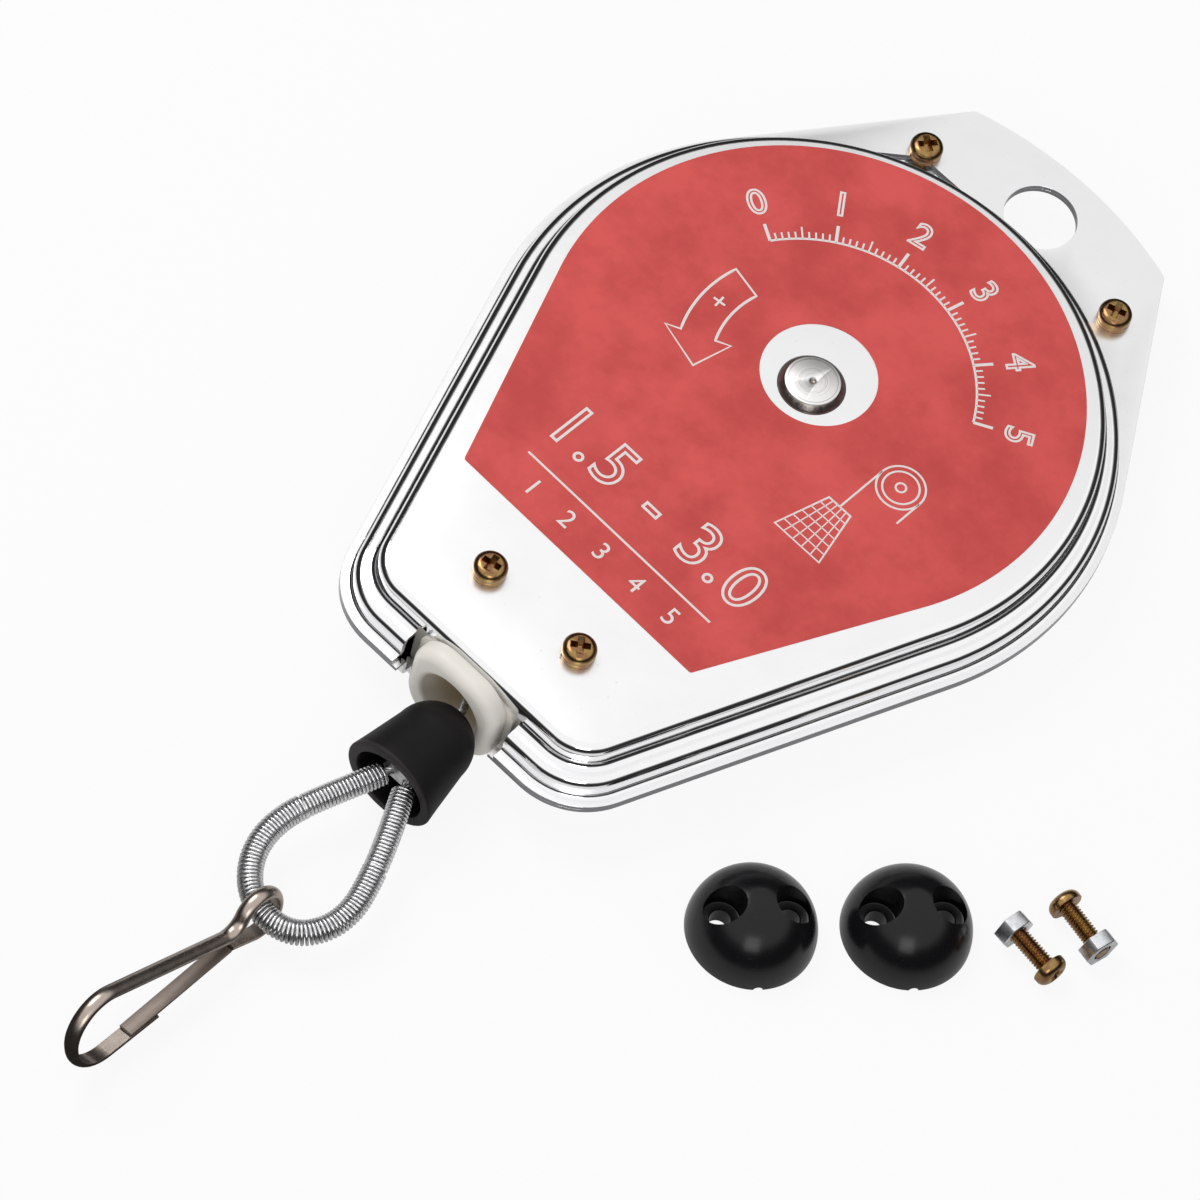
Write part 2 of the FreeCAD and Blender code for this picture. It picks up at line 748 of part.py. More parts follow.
def spring_anchor_pin():
    """Pin in the drum web that the outer end of the spring pulls on."""
    last_radius = spring_start + (2 * spring_turns - 1) * spring_pitch / 2
    end_x = spring_pitch / 2 + last_radius
    x = end_x + spring_thickness / 2 + anchor_pin_radius + 0.05
    return disc(anchor_pin_radius, cavity_low_z, cavity_high_z - spring_edge_gap, x, -0.6)


def cable_line():
    """Straight stretch of cable from the drum to the stopper: its two ends."""
    dome_top = dome_centre - stopper_axis() * dome_radius
    distance = math.hypot(dome_top.x, dome_top.y)
    bearing = math.degrees(math.atan2(dome_top.y, dome_top.x))
    turn = bearing - math.degrees(math.acos(wrap_radius / distance))
    return polar(wrap_radius, turn, leaving_z), dome_top, turn


def along_cable(y):
    """Point of the straight stretch at a distance along the case."""
    start, end, _ = cable_line()
    return start + (end - start) * ((y - start.y) / (end.y - start.y))


def wound_cable():
    """Turns on the drum, as rings, the last one ending where the cable leaves."""
    rings = []
    for i in range(wound_turns):
        z = first_turn_z + i * turn_pitch
        if i == leaving_turn:
            continue
        rings.append(Part.makeTorus(wrap_radius, cable_radius, Vector(0, 0, z)))
    turn = cable_line()[2]
    gap = 30
    leaving = Part.makeTorus(wrap_radius, cable_radius, Vector(0, 0, 0), Vector(0, 0, 1), 0, 360, 360 - gap)
    leaving.rotate(Vector(0, 0, 0), Vector(0, 0, 1), turn + gap)
    leaving.translate(Vector(0, 0, leaving_z))
    return Part.makeCompound(rings + [leaving])


def rod(start, end, radius):
    """Round bar between two points."""
    return Part.makeCylinder(radius, (end - start).Length, start, end - start)


def cable_run():
    """Cable between the drum and the bush."""
    start = cable_line()[0]
    return rod(start, along_cable(throat_y), cable_radius)


def cable_in_bush():
    """Cable inside the throat of the bush."""
    return rod(along_cable(throat_y), along_cable(mouth_y), cable_radius)


def stopper_axis():
    """Direction from the stopper's dome to its rim."""
    turn = math.radians(stopper_turn)
    droop = math.radians(stopper_droop)
    return Vector(math.sin(turn) * math.cos(droop), -math.cos(turn) * math.cos(droop), -math.sin(droop))


def cable_tail():
    """Cable from the bush into the stopper and down to the ferrule."""
    straight = rod(along_cable(mouth_y), cable_line()[1], cable_radius)
    axis = stopper_axis()
    top = cable_line()[1]
    bend = Part.makeSphere(cable_radius, top)
    inside = rod(top, dome_centre + axis * (ferrule_start + ferrule_bore_depth), cable_radius)
    return straight.fuse(bend).fuse(inside).removeSplitter()


def in_stopper_frame(shape):
    """Move a shape drawn along +Z from the dome centre into place."""
    shape.Placement = FreeCAD.Placement(dome_centre, FreeCAD.Rotation(Vector(0, 0, 1), stopper_axis()))
    return shape


def bell_mouth_bush():
    """Nylon bush: rounded lip outside, neck in the case opening, flange inside, flared throat."""
    def slab(half_width, half_height, corner, front_y, back_y):
        w = half_width - corner
        h = half_height - corner
        wire = hull_wire([(w, h, corner), (-w, h, corner), (-w, -h, corner), (w, -h, corner)])
        body = prism(wire, 0, back_y - front_y)
        body.rotate(Vector(0, 0, 0), Vector(1, 0, 0), 90)
        body.translate(Vector(0, back_y, 0))
        return body

    lip = slab(bush_lip_half_width, bush_lip_half_height, bush_lip_corner, lip_front_y, lip_back_y)
    front = [edge for edge in lip.Edges if edge.BoundBox.YMax < lip_front_y + 1e-3]
    lip = lip.makeFillet(bush_lip_round, front)
    neck_half_height = opening_half_height - bush_neck_gap
    neck_half_width = rear_opening_half_width - bush_neck_gap
    inner_back = foot_y + sheet + bush_seat_gap + bush_inner_flange
    neck = slab(neck_half_width, neck_half_height, bush_neck_corner, lip_back_y,
                foot_y + sheet + bush_seat_gap)
    flange = slab(opening_half_width + 1.2, cover_depth - bush_flange_below_face, bush_flange_corner,
                  foot_y + sheet + bush_seat_gap, inner_back)
    body = lip.fuse(neck).fuse(flange)
    length = inner_back - lip_front_y
    bore = Part.makeCylinder(bush_throat_radius, length + 2, Vector(0, lip_front_y - 1, 0), Vector(0, 1, 0))
    flare_depth = length - bush_inner_flange
    flare = Part.makeCone(bush_mouth_radius, bush_throat_radius, flare_depth,
                          Vector(0, lip_front_y, 0), Vector(0, 1, 0))
    body = body.cut(bore.fuse(flare)).removeSplitter()
    mouth = [edge for edge in body.Edges
             if edge.BoundBox.YMax < lip_front_y + 1e-3
             and edge.BoundBox.XLength < 2 * bush_mouth_radius + 0.1]
    return body.makeFillet(1.2, mouth)


def rubber_stopper():
    """Bell of rubber: domed top, flared side and a deep hollow for the ferrule."""
    lower = block(-dome_radius, dome_radius, -dome_radius, dome_radius, -dome_radius, 0)
    dome = Part.makeSphere(dome_radius).common(lower)
    side = Part.makeCone(dome_radius, stopper_rim_radius, stopper_length)
    body = dome.fuse(side).removeSplitter()
    body = body.makeFillet(stopper_rim_round, edges_at(body, stopper_length))
    hollow = disc(hollow_radius, stopper_length - hollow_depth, stopper_length + 1)
    hollow = hollow.makeFillet(2.0, edges_at(hollow, stopper_length - hollow_depth))
    bore = disc(cable_radius + stopper_bore_clearance, -dome_radius - 1, stopper_length)
    flare = Part.makeCone(stopper_flare_radius, cable_radius + stopper_bore_clearance, stopper_flare_depth,
                          Vector(0, 0, -dome_radius - 0.2))
    return in_stopper_frame(body.cut(hollow).cut(bore).cut(flare))


def loop_ferrule():
    """Flattened sleeve that crimps the cable and both legs of the loop."""
    half = ferrule_width / 2 - ferrule_thickness / 2
    shape = hull_wire([(half, 0, ferrule_thickness / 2), (-half, 0, ferrule_thickness / 2)])
    low = ferrule_start
    body = prism(shape, low, low + ferrule_length)
    body = body.cut(disc(cable_radius + 0.02, low - 1, low + ferrule_bore_depth + 0.02))
    body = in_stopper_frame(body)
    for end in (0, -1):
        points = loop_points()
        first = points[end]
        second = points[1 if end == 0 else -2]
        outward = (first - second).normalize()
        hole = rod(first + outward * 3, second, cable_radius + 0.02)
        body = body.cut(hole)
    return body


def loop_points():
    """Points of the loop's centre line in space."""
    start_z = dome_centre.z - 0.4
    return [Vector(x, loop_start_y - y, start_z - loop_slope * y) for x, y in loop_route]


def rounded_path(points):
    """Straight runs joined by tangent arcs, as a list of edges; radii are printed."""
    runs = [b - a for a, b in zip(points, points[1:])]
    trims = [0.0]
    radii = []
    for before, after in zip(runs, runs[1:]):
        turn = before.getAngle(after)
        trim = 0.45 * min(before.Length, after.Length)
        trims.append(trim)
        radii.append(trim / math.tan(turn / 2))
    trims.append(0.0)
    print("loop bend radii", [round(r, 1) for r in radii])
    edges = []
    for i, run in enumerate(runs):
        way = Vector(run).normalize()
        a = points[i] + way * trims[i]
        b = points[i + 1] - way * trims[i + 1]
        edges.append(("line", a, b))
        if i + 1 < len(runs):
            way_after = Vector(runs[i + 1]).normalize()
            c = points[i + 1] + way_after * trims[i + 1]
            inward = (way_after - way).normalize()
            radius = radii[i]
            half_turn = way.getAngle(way_after) / 2
            centre = points[i + 1] + inward * (radius / math.cos(half_turn))
            middle = centre - inward * radius
            edges.append(("arc", b, middle, c))
    return edges


def path_wire(path, first_run, last_run, cut_first, cut_last):
    """Wire along part of a rounded path; an end run can be cut at its middle."""
    chosen = [list(item) for item in path[2 * first_run:2 * last_run + 1]]
    if cut_first:
        chosen[0][1] = (chosen[0][1] + chosen[0][2]) / 2
    if cut_last:
        chosen[-1][2] = (chosen[-1][1] + chosen[-1][2]) / 2
    edges = []
    for item in chosen:
        if item[0] == "line":
            edges.append(Part.LineSegment(item[1], item[2]).toShape())
        else:
            edges.append(Part.Arc(item[1], item[2], item[3]).toShape())
    return Part.Wire(edges)


def swept_round(wire, radius):
    """Round bar along a wire."""
    first = wire.Edges[0]
    start = first.valueAt(first.FirstParameter)
    tangent = first.tangentAt(first.FirstParameter)
    section = Part.Wire([Part.Circle(start, tangent, radius).toShape()])
    body = wire.makePipeShell([section], True, False)
    expected = math.pi * radius ** 2 * wire.Length
    print("swept volume over expected", round(body.Volume / expected, 4))
    return body


def loop_cable(path):
    """Bare wire rope of the loop."""
    runs = len(loop_route) - 1
    return swept_round(path_wire(path, 0, runs - 1, False, False), cable_radius)


def loop_sleeve(path, first_run, last_run, cut_first, cut_last, radius):
    """Close-wound spring over part of the loop, as a plain tube."""
    wire = path_wire(path, first_run, last_run, cut_first, cut_last)
    return swept_round(wire, radius).cut(swept_round(wire, cable_radius + sleeve_bore_clearance))


def hook_frame():
    """Origin of the hook's plane at the neck, the way to the bend, and the way up."""
    lean = math.radians(hook_lean)
    up = Vector(-math.sin(lean), 0, math.cos(lean))
    origin = Vector(hook_side, loop_start_y - neck_beyond_loop_start, table_z + neck_above_table)
    return origin, Vector(0, -1, 0), up


def lowest_loop_point():
    """Middle of the loop's bottom run."""
    points = loop_points()
    a, b = sorted(points, key=lambda p: p.y)[:2]
    return (a + b) / 2


def to_hook(shape):
    """Move a shape drawn with X along, Y up and Z across into the hook's plane."""
    origin, along, up = hook_frame()
    across = along.cross(up)
    shape.Placement = FreeCAD.Placement(FreeCAD.Matrix(
        along.x, up.x, across.x, origin.x,
        along.y, up.y, across.y, origin.y,
        along.z, up.z, across.z, origin.z,
        0, 0, 0, 1))
    return shape


def hook_path():
    """Flat centre line of the strip, from the nose lip round the bend and the eye to the neck."""
    lower = Vector(neck_to_bend_end - lower_bend_radius, lower_bend_height, 0)
    upper = Vector(neck_to_bend_end - upper_bend_radius, upper_bend_height, 0)
    eye = Vector(-neck_to_eye_centre, eye_centre_height, 0)
    root = Vector(gate_root_offset, gate_root_height, 0)
    nose_way = polar(1, nose_slope)
    nose_end = lower + polar(lower_bend_radius, nose_slope - 90)
    nose_start = nose_end - nose_way * nose_length
    far_low = lower + Vector(lower_bend_radius, 0, 0)
    far_high = upper + Vector(upper_bend_radius, 0, 0)
    back_start = upper + polar(upper_bend_radius, 90 + back_slope)
    back_way = polar(-1, back_slope)
    outward = polar(1, 90 + back_slope)
    to_eye = eye - back_start - outward * neck_round
    aside = to_eye.dot(outward)
    back_length = to_eye.dot(back_way) - math.sqrt((neck_round + eye_radius) ** 2 - aside ** 2)
    back_end = back_start + back_way * back_length
    neck_centre = back_end + outward * neck_round
    touch = eye + (neck_centre - eye).normalize() * eye_radius
    neck_middle = neck_centre + ((back_end + touch) / 2 - neck_centre).normalize() * neck_round
    root_turn = math.atan2(root.y - eye.y, root.x - eye.x) - math.acos(eye_radius / (root - eye).Length)
    eye_end = eye + polar(eye_radius, math.degrees(root_turn))
    eye_far = eye - ((touch + eye_end) / 2 - eye).normalize() * eye_radius
    strip_end = root - (root - eye_end).normalize() * gate_root_gap()
    edges = [Part.LineSegment(nose_start, nose_end).toShape(),
             Part.Arc(nose_end, lower + polar(lower_bend_radius, nose_slope / 2 - 45), far_low).toShape(),
             Part.LineSegment(far_low, far_high).toShape(),
             Part.Arc(far_high, upper + polar(upper_bend_radius, 45 + back_slope / 2), back_start).toShape(),
             Part.LineSegment(back_start, back_end).toShape(),
             Part.Arc(back_end, neck_middle, touch).toShape(),
             Part.Arc(touch, eye_far, eye_end).toShape(),
             Part.LineSegment(eye_end, strip_end).toShape()]
    return Part.Wire(edges), nose_start, nose_way, root


def gate_root_gap():
    """Space between the strip's end and the gate's rounded root."""
    return gate_thickness / 2 + 0.1


def strip_section(point, way):
    """Half-round section of the strip, flat towards the inside of the hook."""
    outward = Vector(way.y, -way.x, 0)
    side = Vector(0, 0, 1)
    half = hook_width / 2
    inner = point - outward * (strip_thickness / 2)
    crown = point + outward * (strip_thickness / 2)
    shoulder = strip_thickness * 0.3
    a = inner - side * half
    b = inner + side * half
    c = b + outward * shoulder
    d = a + outward * shoulder
    edges = [Part.LineSegment(a, b).toShape(), Part.LineSegment(b, c).toShape(),
             Part.Arc(c, crown, d).toShape(), Part.LineSegment(d, a).toShape()]
    return Part.Wire(edges)


def snap_hook():
    """Bent strip: nose lip, bend, back, neck and eye round the loop."""
    wire, start, way, _ = hook_path()
    body = wire.makePipeShell([strip_section(start, way)], True, False)
    return to_hook(body)


def hook_gate():
    """Flat spring tongue that closes the hook, resting on the nose lip."""
    _, nose_start, nose_way, root = hook_path()
    nose_normal = Vector(-nose_way.y, nose_way.x, 0)
    half = gate_thickness / 2
    rise = strip_thickness / 2 + gate_gap + half
    rest = nose_start + nose_way * gate_overlap + nose_normal * rise
    shape = hull_wire([(root.x, root.y, half), (rest.x, rest.y, half)])
    tongue = prism(shape, -gate_width / 2, gate_width / 2)
    return to_hook(tongue)


def stop_ball_half(centre):
    """Half ball, flat side down, with two counterbored holes and a cable groove."""
    upper = block(-ball_radius, ball_radius, -ball_radius, ball_radius, 0, ball_radius)
    ball = Part.makeSphere(ball_radius).common(upper)
    for side in (-1, 1):
        x = side * ball_hole_half_spacing
        ball = ball.cut(disc(ball_hole_radius, -1, ball_radius, x, 0))
        ball = ball.cut(disc(ball_counterbore_radius, ball_seat_height, ball_radius, x, 0))
    groove = Part.makeCylinder(ball_groove_radius, 4 * ball_radius, Vector(0, -2 * ball_radius, 0),
                               Vector(0, 1, 0))
    ball = ball.cut(groove)
    ball.rotate(Vector(0, 0, 0), Vector(0, 0, 1), ball_turn)
    ball.translate(Vector(centre[0], centre[1], table_z))
    return ball


def lying(shape, place, turn):
    """Lay a piece drawn along -Z on the table, its head at a place, pointing at an angle."""
    shape.rotate(Vector(0, 0, 0), Vector(0, 1, 0), -90)
    shape.rotate(Vector(0, 0, 0), Vector(0, 0, 1), turn)
    shape.translate(Vector(place[0], place[1], table_z + head_radius + 0.02))
    return shape


def kit_screw(place, turn):
    """Loose stop ball screw on its side."""
    return lying(pan_screw(kit_screw_length), place, turn)


def kit_nut(place, turn, start):
    """Nut run on to a loose stop ball screw, one flat down."""
    nut = hex_nut()
    nut.rotate(Vector(0, 0, 0), Vector(0, 0, 1), 30)
    nut.translate(Vector(0, 0, -start - nut_height))
    return lying(nut, place, turn)


def save(name, shape):
    """Write one node with the hanging hole at the origin."""
    moved = shape.copy()
    moved.translate(Vector(0, -hang_to_axle, 0))
    moved.exportStep(os.path.join("parts", name + ".step"))


def build():
    """Make every piece and write it."""
    os.makedirs("parts", exist_ok=True)
    path = rounded_path(loop_points())
    leg_start, leg_end, far_leg_start, far_leg_end = sleeve_ends
    pieces = {
        "front_cover": front_cover(),
        "rear_cover": rear_cover(),
        "front_label": front_label(),
        "cable_guide_bush": bell_mouth_bush(),
        "case_screws": case_screws(),
        "tab_screws": tab_screws(),
        "spring_washers": spring_washers(),
        "case_nuts": case_nuts(),
        "tab_nuts": tab_nuts(),
        "case_spacers": case_spacers(),
        "front_bearing": front_bearing(),
        "rear_bearing": rear_bearing(),
        "drum_shaft": drum_shaft(),
        "spring_arbor": spring_arbor(),
        "arbor_pin": arbor_pin(),
        "ratchet_wheel": ratchet_wheel(),
        "ratchet_clip": ratchet_clip(),
        "pawl": pawl(),
        "pawl_pin": pawl_pin(),
        "pawl_spring_post": pawl_spring_post(),
        "pawl_spring": pawl_spring(),
        "cable_drum": cable_drum(),
        "drum_cover": drum_cover(),
        "drum_cover_screws": drum_cover_screws(),
        "drum_bearing_rear": drum_bearing(drum_low_z, cavity_low_z),
        "drum_bearing_front": drum_bearing(cavity_high_z, drum_high_z),
        "power_spring": power_spring(),
        "spring_anchor_pin": spring_anchor_pin(),
        "cable_anchor": cable_anchor(),
        "wound_cable": wound_cable(),
        "cable_run": cable_run(),
        "cable_in_bush": cable_in_bush(),
        "cable_tail": cable_tail(),
        "rubber_stopper": rubber_stopper(),
        "loop_ferrule": loop_ferrule(),
        "loop_cable": loop_cable(path),
        "loop_spring_left": loop_sleeve(path, leg_start, leg_end, False, True, leg_sleeve_radius),
        "loop_spring_lower": loop_sleeve(path, leg_end, far_leg_start, True, True, lower_sleeve_radius),
        "loop_spring_right": loop_sleeve(path, far_leg_start, far_leg_end, True, False, leg_sleeve_radius),
        "snap_hook": snap_hook(),
        "hook_gate": hook_gate(),
    }
    for i, centre in enumerate(ball_centres, 1):
        pieces["stop_ball_half_%d" % i] = stop_ball_half(centre)
    for i, (place, turn, start) in enumerate(kit_screws, 1):
        pieces["stop_ball_screw_%d" % i] = kit_screw(place, turn)
        pieces["stop_ball_nut_%d" % i] = kit_nut(place, turn, start)
    for name, shape in pieces.items():
        if not shape.isValid():
            print("not valid:", name)
        save(name, shape)
    print("hook origin", hook_frame()[0], "cable at", lowest_loop_point())
    print("pieces", len(pieces))


build()
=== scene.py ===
"""Looks of a small spring balancer and its loose stop ball kit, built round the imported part.

Pieces are drawn in millimetres from the drum axle, and are put in metres with the hanging hole at
the origin when they are finished.
"""

import math

import bmesh
import bpy
from mathutils import Matrix, Vector


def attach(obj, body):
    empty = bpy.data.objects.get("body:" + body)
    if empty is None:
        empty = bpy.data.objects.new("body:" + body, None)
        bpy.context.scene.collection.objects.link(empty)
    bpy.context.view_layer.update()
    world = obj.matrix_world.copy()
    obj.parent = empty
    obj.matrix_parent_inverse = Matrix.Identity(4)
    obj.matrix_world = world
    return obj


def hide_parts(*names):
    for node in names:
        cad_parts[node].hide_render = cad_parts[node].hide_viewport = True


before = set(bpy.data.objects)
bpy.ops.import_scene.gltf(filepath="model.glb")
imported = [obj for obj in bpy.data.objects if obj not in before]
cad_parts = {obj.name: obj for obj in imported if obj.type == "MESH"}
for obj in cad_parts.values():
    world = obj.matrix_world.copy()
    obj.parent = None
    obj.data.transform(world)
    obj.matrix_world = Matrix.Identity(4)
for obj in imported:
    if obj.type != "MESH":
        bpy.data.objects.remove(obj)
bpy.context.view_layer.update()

bl_info = {
    "name": "Spring Balancer Looks",
    "version": (1, 0, 0),
    "blender": (4, 5, 0),
    "location": "View3D > Sidebar > Balancer",
    "description": "Dresses a spring balancer, its snap hook and its stop ball kit",
    "category": "Object",
}

MM = 0.001
AXLE_Y = -75.0
FOOT_Y = -100.0
TABLE_Z = -12.1
FACE_Z = 12.1

# Outline of the case: axle circle and the two corner circles of the foot
FACE_RADIUS = 62.0
CORNER_RADIUS = 10.8
CORNER_X = 21.9
CORNER_Y = -89.2
FLANGE_OFFSET = 6.6
FLANGE_Z = 1.0
TAB_TOP = 88.7
TAB_HALF_WIDTH = 27.4
HANG_HOLE_RADIUS = 8.0
SCREW_HOLE_RADIUS = 2.2
WELL_RADIUS = 23.0
WELL_FLOOR_Z = -7.1
SHAFT_RADIUS = 7.1
SHAFT_TOP_RADIUS = 5.9
SHAFT_TOP_Z = 13.8

# Opening for the bush, half its width in each cover and half its height
FRONT_OPENING = 14.3
REAR_OPENING = 12.9
OPENING_HALF_HEIGHT = 7.7
FOOT_STOPS = (-FRONT_OPENING, -REAR_OPENING, -6.0, 0.0, 6.0, REAR_OPENING, FRONT_OPENING)

# Label: its round edge and foot corners, how it lies, its hole, and the scale printed on it
LABEL_RADIUS = 57.0
LABEL_FOOT = (32.0, -69.4)
LABEL_TURN = -0.9
LABEL_SHIFT = Vector((-0.9, 1.9, 0.0))
LABEL_THICKNESS = 0.15
LABEL_HOLE = (-0.7, 3.0)
LABEL_HOLE_RADIUS = 12.4
DIAL_CENTRE = (-0.8, 2.4)
DIAL_RADIUS = 33.5
PRINT_HEIGHT = 0.03

# Rubber stopper: centre of its dome, and the way from dome to rim
DOME_CENTRE = Vector((3.7, -113.4, -0.7))
STOPPER_WAY = Vector((0.0558, -0.9977, -0.0384)).normalized()

# Cable: where it leaves the drum, and the top of the stopper's dome
CABLE_START = Vector((-36.48, -16.41, -0.625))
CABLE_END = Vector((3.209, -104.62, -0.362))

# Wire loop: points of its middle line, sideways and beyond its start in the ferrule
LOOP_ROUTE = [
    (2.7, 0.0), (1.8, 3.4), (-0.5, 10.0), (-3.0, 17.0), (-4.8, 23.1), (-5.0, 29.7),
    (-2.7, 35.9), (2.3, 40.8), (9.1, 42.3), (15.0, 40.2), (18.3, 34.9), (18.8, 28.9),
    (16.9, 22.6), (14.1, 16.1), (10.9, 9.7), (7.5, 3.5), (5.8, 0.0)]
LOOP_SLOPE = 0.11
LOOP_START = Vector((0.0, -121.3, -1.1))

# Snap hook: its plane's origin at the neck and its lean, in degrees
HOOK_ORIGIN = Vector((7.75, -172.3, -10.85))
HOOK_LEAN = 12.0

# Loose kit: half balls and screws on the table
BALL_CENTRES = [(72.4, -89.1), (93.4, -65.4)]
BALL_RADIUS = 13.5
BALL_TURN = 49.5
KIT_PLACES = [((112.6, -38.4), -11.0), ((118.9, -51.6), 173.5)]
KIT_AXIS_Z = -8.48

# Screws of the case: place and turn of each
CASE_SCREWS = [(-12.5, -82.7, 12), (12.5, -82.7, 38)]
TAB_SCREWS = [(-27.3, 68.0, 55), (27.3, 68.0, 20)]
WASHER_HEIGHT = 1.0


# Shader maths

def join(tree, port, value):
    """Link a signal to a port, or set a plain value on it."""
    if isinstance(value, Signal):
        tree.links.new(value.socket, port)
    else:
        port.default_value = value


def work(tree, operation, *values):
    """One Math node on values."""
    node = tree.nodes.new("ShaderNodeMath")
    node.operation = operation
    for port, value in zip(node.inputs, values):
        join(tree, port, value)
    return Signal(tree, node.outputs[0])


class Signal:
    """A node's output that can stand in sums."""

    def __init__(self, tree, socket):
        self.tree = tree
        self.socket = socket

    def __add__(self, other):
        return work(self.tree, "ADD", self, other)

    __radd__ = __add__

    def __sub__(self, other):
        return work(self.tree, "SUBTRACT", self, other)

    def __rsub__(self, other):
        return work(self.tree, "SUBTRACT", other, self)

    def __mul__(self, other):
        return work(self.tree, "MULTIPLY", self, other)

    __rmul__ = __mul__

    def __truediv__(self, other):
        return work(self.tree, "DIVIDE", self, other)

    def __abs__(self):
        return work(self.tree, "ABSOLUTE", self)

    def root(self):
        return work(self.tree, "SQRT", self)

    def at_least(self, other):
        return work(self.tree, "MAXIMUM", self, other)

    def beside(self, out):
        """Another output of the same node."""
        return Signal(self.tree, self.socket.node.outputs[out])


class Shading:
    """The nodes of a material or of the world."""

    def __init__(self, owner):
        owner.use_nodes = True
        self.tree = owner.node_tree
        self.tree.nodes.clear()

    def add(self, kind, ports=None, out=0, **settings):
        """Any node: its settings first, then its ports; gives one output."""
        node = self.tree.nodes.new(kind)
        for key, value in settings.items():
            setattr(node, key, value)
        for key, value in (ports or {}).items():
            join(self.tree, node.inputs[key], value)
        return Signal(self.tree, node.outputs[out])

    def split(self, vector):
        """The three parts of a vector."""
        node = self.add("ShaderNodeSeparateXYZ", {"Vector": vector})
        return [node.beside(i) for i in range(3)]

    def blend(self, share, first, second):
        """First colour where the share is 0, second where it is 1."""
        return self.add("ShaderNodeMix", {0: share, 6: colour(first), 7: colour(second)}, 2,
                        data_type="RGBA")

    def mixed(self, share, first, second):
        """First shader where the share is 0, second where it is 1."""
        return self.add("ShaderNodeMixShader", {0: share, 1: first, 2: second})

    def end(self, shader, kind="ShaderNodeOutputMaterial"):
        """Send a shader to the surface."""
        output = self.tree.nodes.new(kind)
        join(self.tree, output.inputs["Surface"], shader)


class Finish(Shading):
    """One material and the nodes that make it."""

    def __init__(self, name):
        self.material = bpy.data.materials.new(name)
        super().__init__(self.material)

    def place(self):
        """Where a point is on the object, in metres."""
        return self.add("ShaderNodeTexCoord", out="Object")

    def parts(self):
        """The three coordinates of a point in millimetres from the axle."""
        x, y, z = self.split(self.place())
        return x / MM, y / MM - AXLE_Y, z / MM

    def noise(self, size, detail=3.0, rough=0.5, stretch=None):
        """Cloudy noise from 0 to 1 whose spots are about that size in millimetres."""
        where = self.place()
        if stretch:
            where = self.add("ShaderNodeMapping", {"Vector": where, "Scale": stretch})
        ports = {"Vector": where, "Scale": 1.0 / (size * MM), "Detail": detail, "Roughness": rough}
        return self.add("ShaderNodeTexNoise", ports)

    def band(self, value, low, high):
        """0 below a value, 1 above another, smooth between."""
        ports = {"Value": value, "From Min": low, "From Max": high}
        return self.add("ShaderNodeMapRange", ports, interpolation_type="SMOOTHSTEP")

    def bump(self, height, depth):
        """A normal from a height of 0 to 1 that is worth a depth in millimetres."""
        return self.add("ShaderNodeBump", {"Height": height, "Distance": depth * MM, "Strength": 1.0})

    def surface(self, **ports):
        """The shader and the material's output."""
        named = {key.replace("_", " "): value for key, value in ports.items()}
        self.end(self.add("ShaderNodeBsdfPrincipled", named))
        return self.material


def colour(value):
    """A colour with its alpha, or a signal as it is."""
    if isinstance(value, Signal) or len(value) == 4:
        return value
    return (*value, 1.0)


def chrome():
    """Bright plating: slow waves from the press, faint cloud, fine specks and a painted dark reflection
    along the cut edge.
    """
    f = Finish("chrome_plate")
    upward = abs(f.split(f.add("ShaderNodeTexCoord", out="Normal"))[2])
    flat = f.band(upward, 0.985, 0.999)
    wave = f.noise(9.0, 2.0)
    fine = f.noise(1.1, 3.0)
    cloud = f.noise(14.0, 4.0, 0.6)
    specks = f.band(f.noise(0.7, 2.0, 0.5), 0.73, 0.78)
    height = abs(f.parts()[2])
    # Painted dark reflection: the sheet's cut edge at the flange is darkened in the base colour.
    painted_edge_reflection = (1 - f.band(height, 1.02, 1.12)) * (1 - f.band(upward, 0.3, 0.6))
    base = f.blend(cloud, (0.88, 0.88, 0.89), (0.95, 0.95, 0.955))
    base = f.blend(painted_edge_reflection, base, (0.22, 0.22, 0.23))
    return f.surface(
        Base_Color=f.blend(specks * 0.4, base, (0.55, 0.54, 0.53)),
        Metallic=1.0,
        Roughness=0.05 + 0.05 * cloud + 0.1 * specks + 0.22 * flat,
        Normal=f.bump(wave + 0.06 * fine, 0.05))


def sticker_red():
    """Printed film with a fine grain and slightly uneven ink."""
    f = Finish("label_red_film")
    red = bpy.context.scene.balancer_colours.label_red
    grain = f.noise(0.35, 2.0, 0.6)
    cloud = f.noise(16.0, 4.0, 0.6)
    weave = f.noise(0.5, 2.0, 0.5, stretch=(1.0, 0.12, 1.0))
    pale = tuple(min(1.0, c * 1.12 + 0.02) for c in red)
    deep = tuple(c * 0.88 for c in red)
    base = f.blend(f.band(cloud, 0.3, 0.7), deep, pale)
    base = f.blend(f.band(grain, 0.62, 0.8) * 0.22, base, (0.82, 0.30, 0.28))
    return f.surface(
        Base_Color=base,
        Roughness=0.44 + 0.12 * grain,
        Specular_IOR_Level=0.4,
        Normal=f.bump(grain + 0.6 * weave, 0.012))


def print_white():
    """Screen-printed ink, thin in places."""
    f = Finish("label_print_white")
    white = tuple(bpy.context.scene.balancer_colours.label_print)
    thin = f.band(f.noise(0.8, 3.0, 0.6), 0.45, 0.75)
    return f.surface(
        Base_Color=f.blend(thin * 0.25, white, (0.86, 0.62, 0.60)),
        Roughness=0.5 + 0.1 * thin)


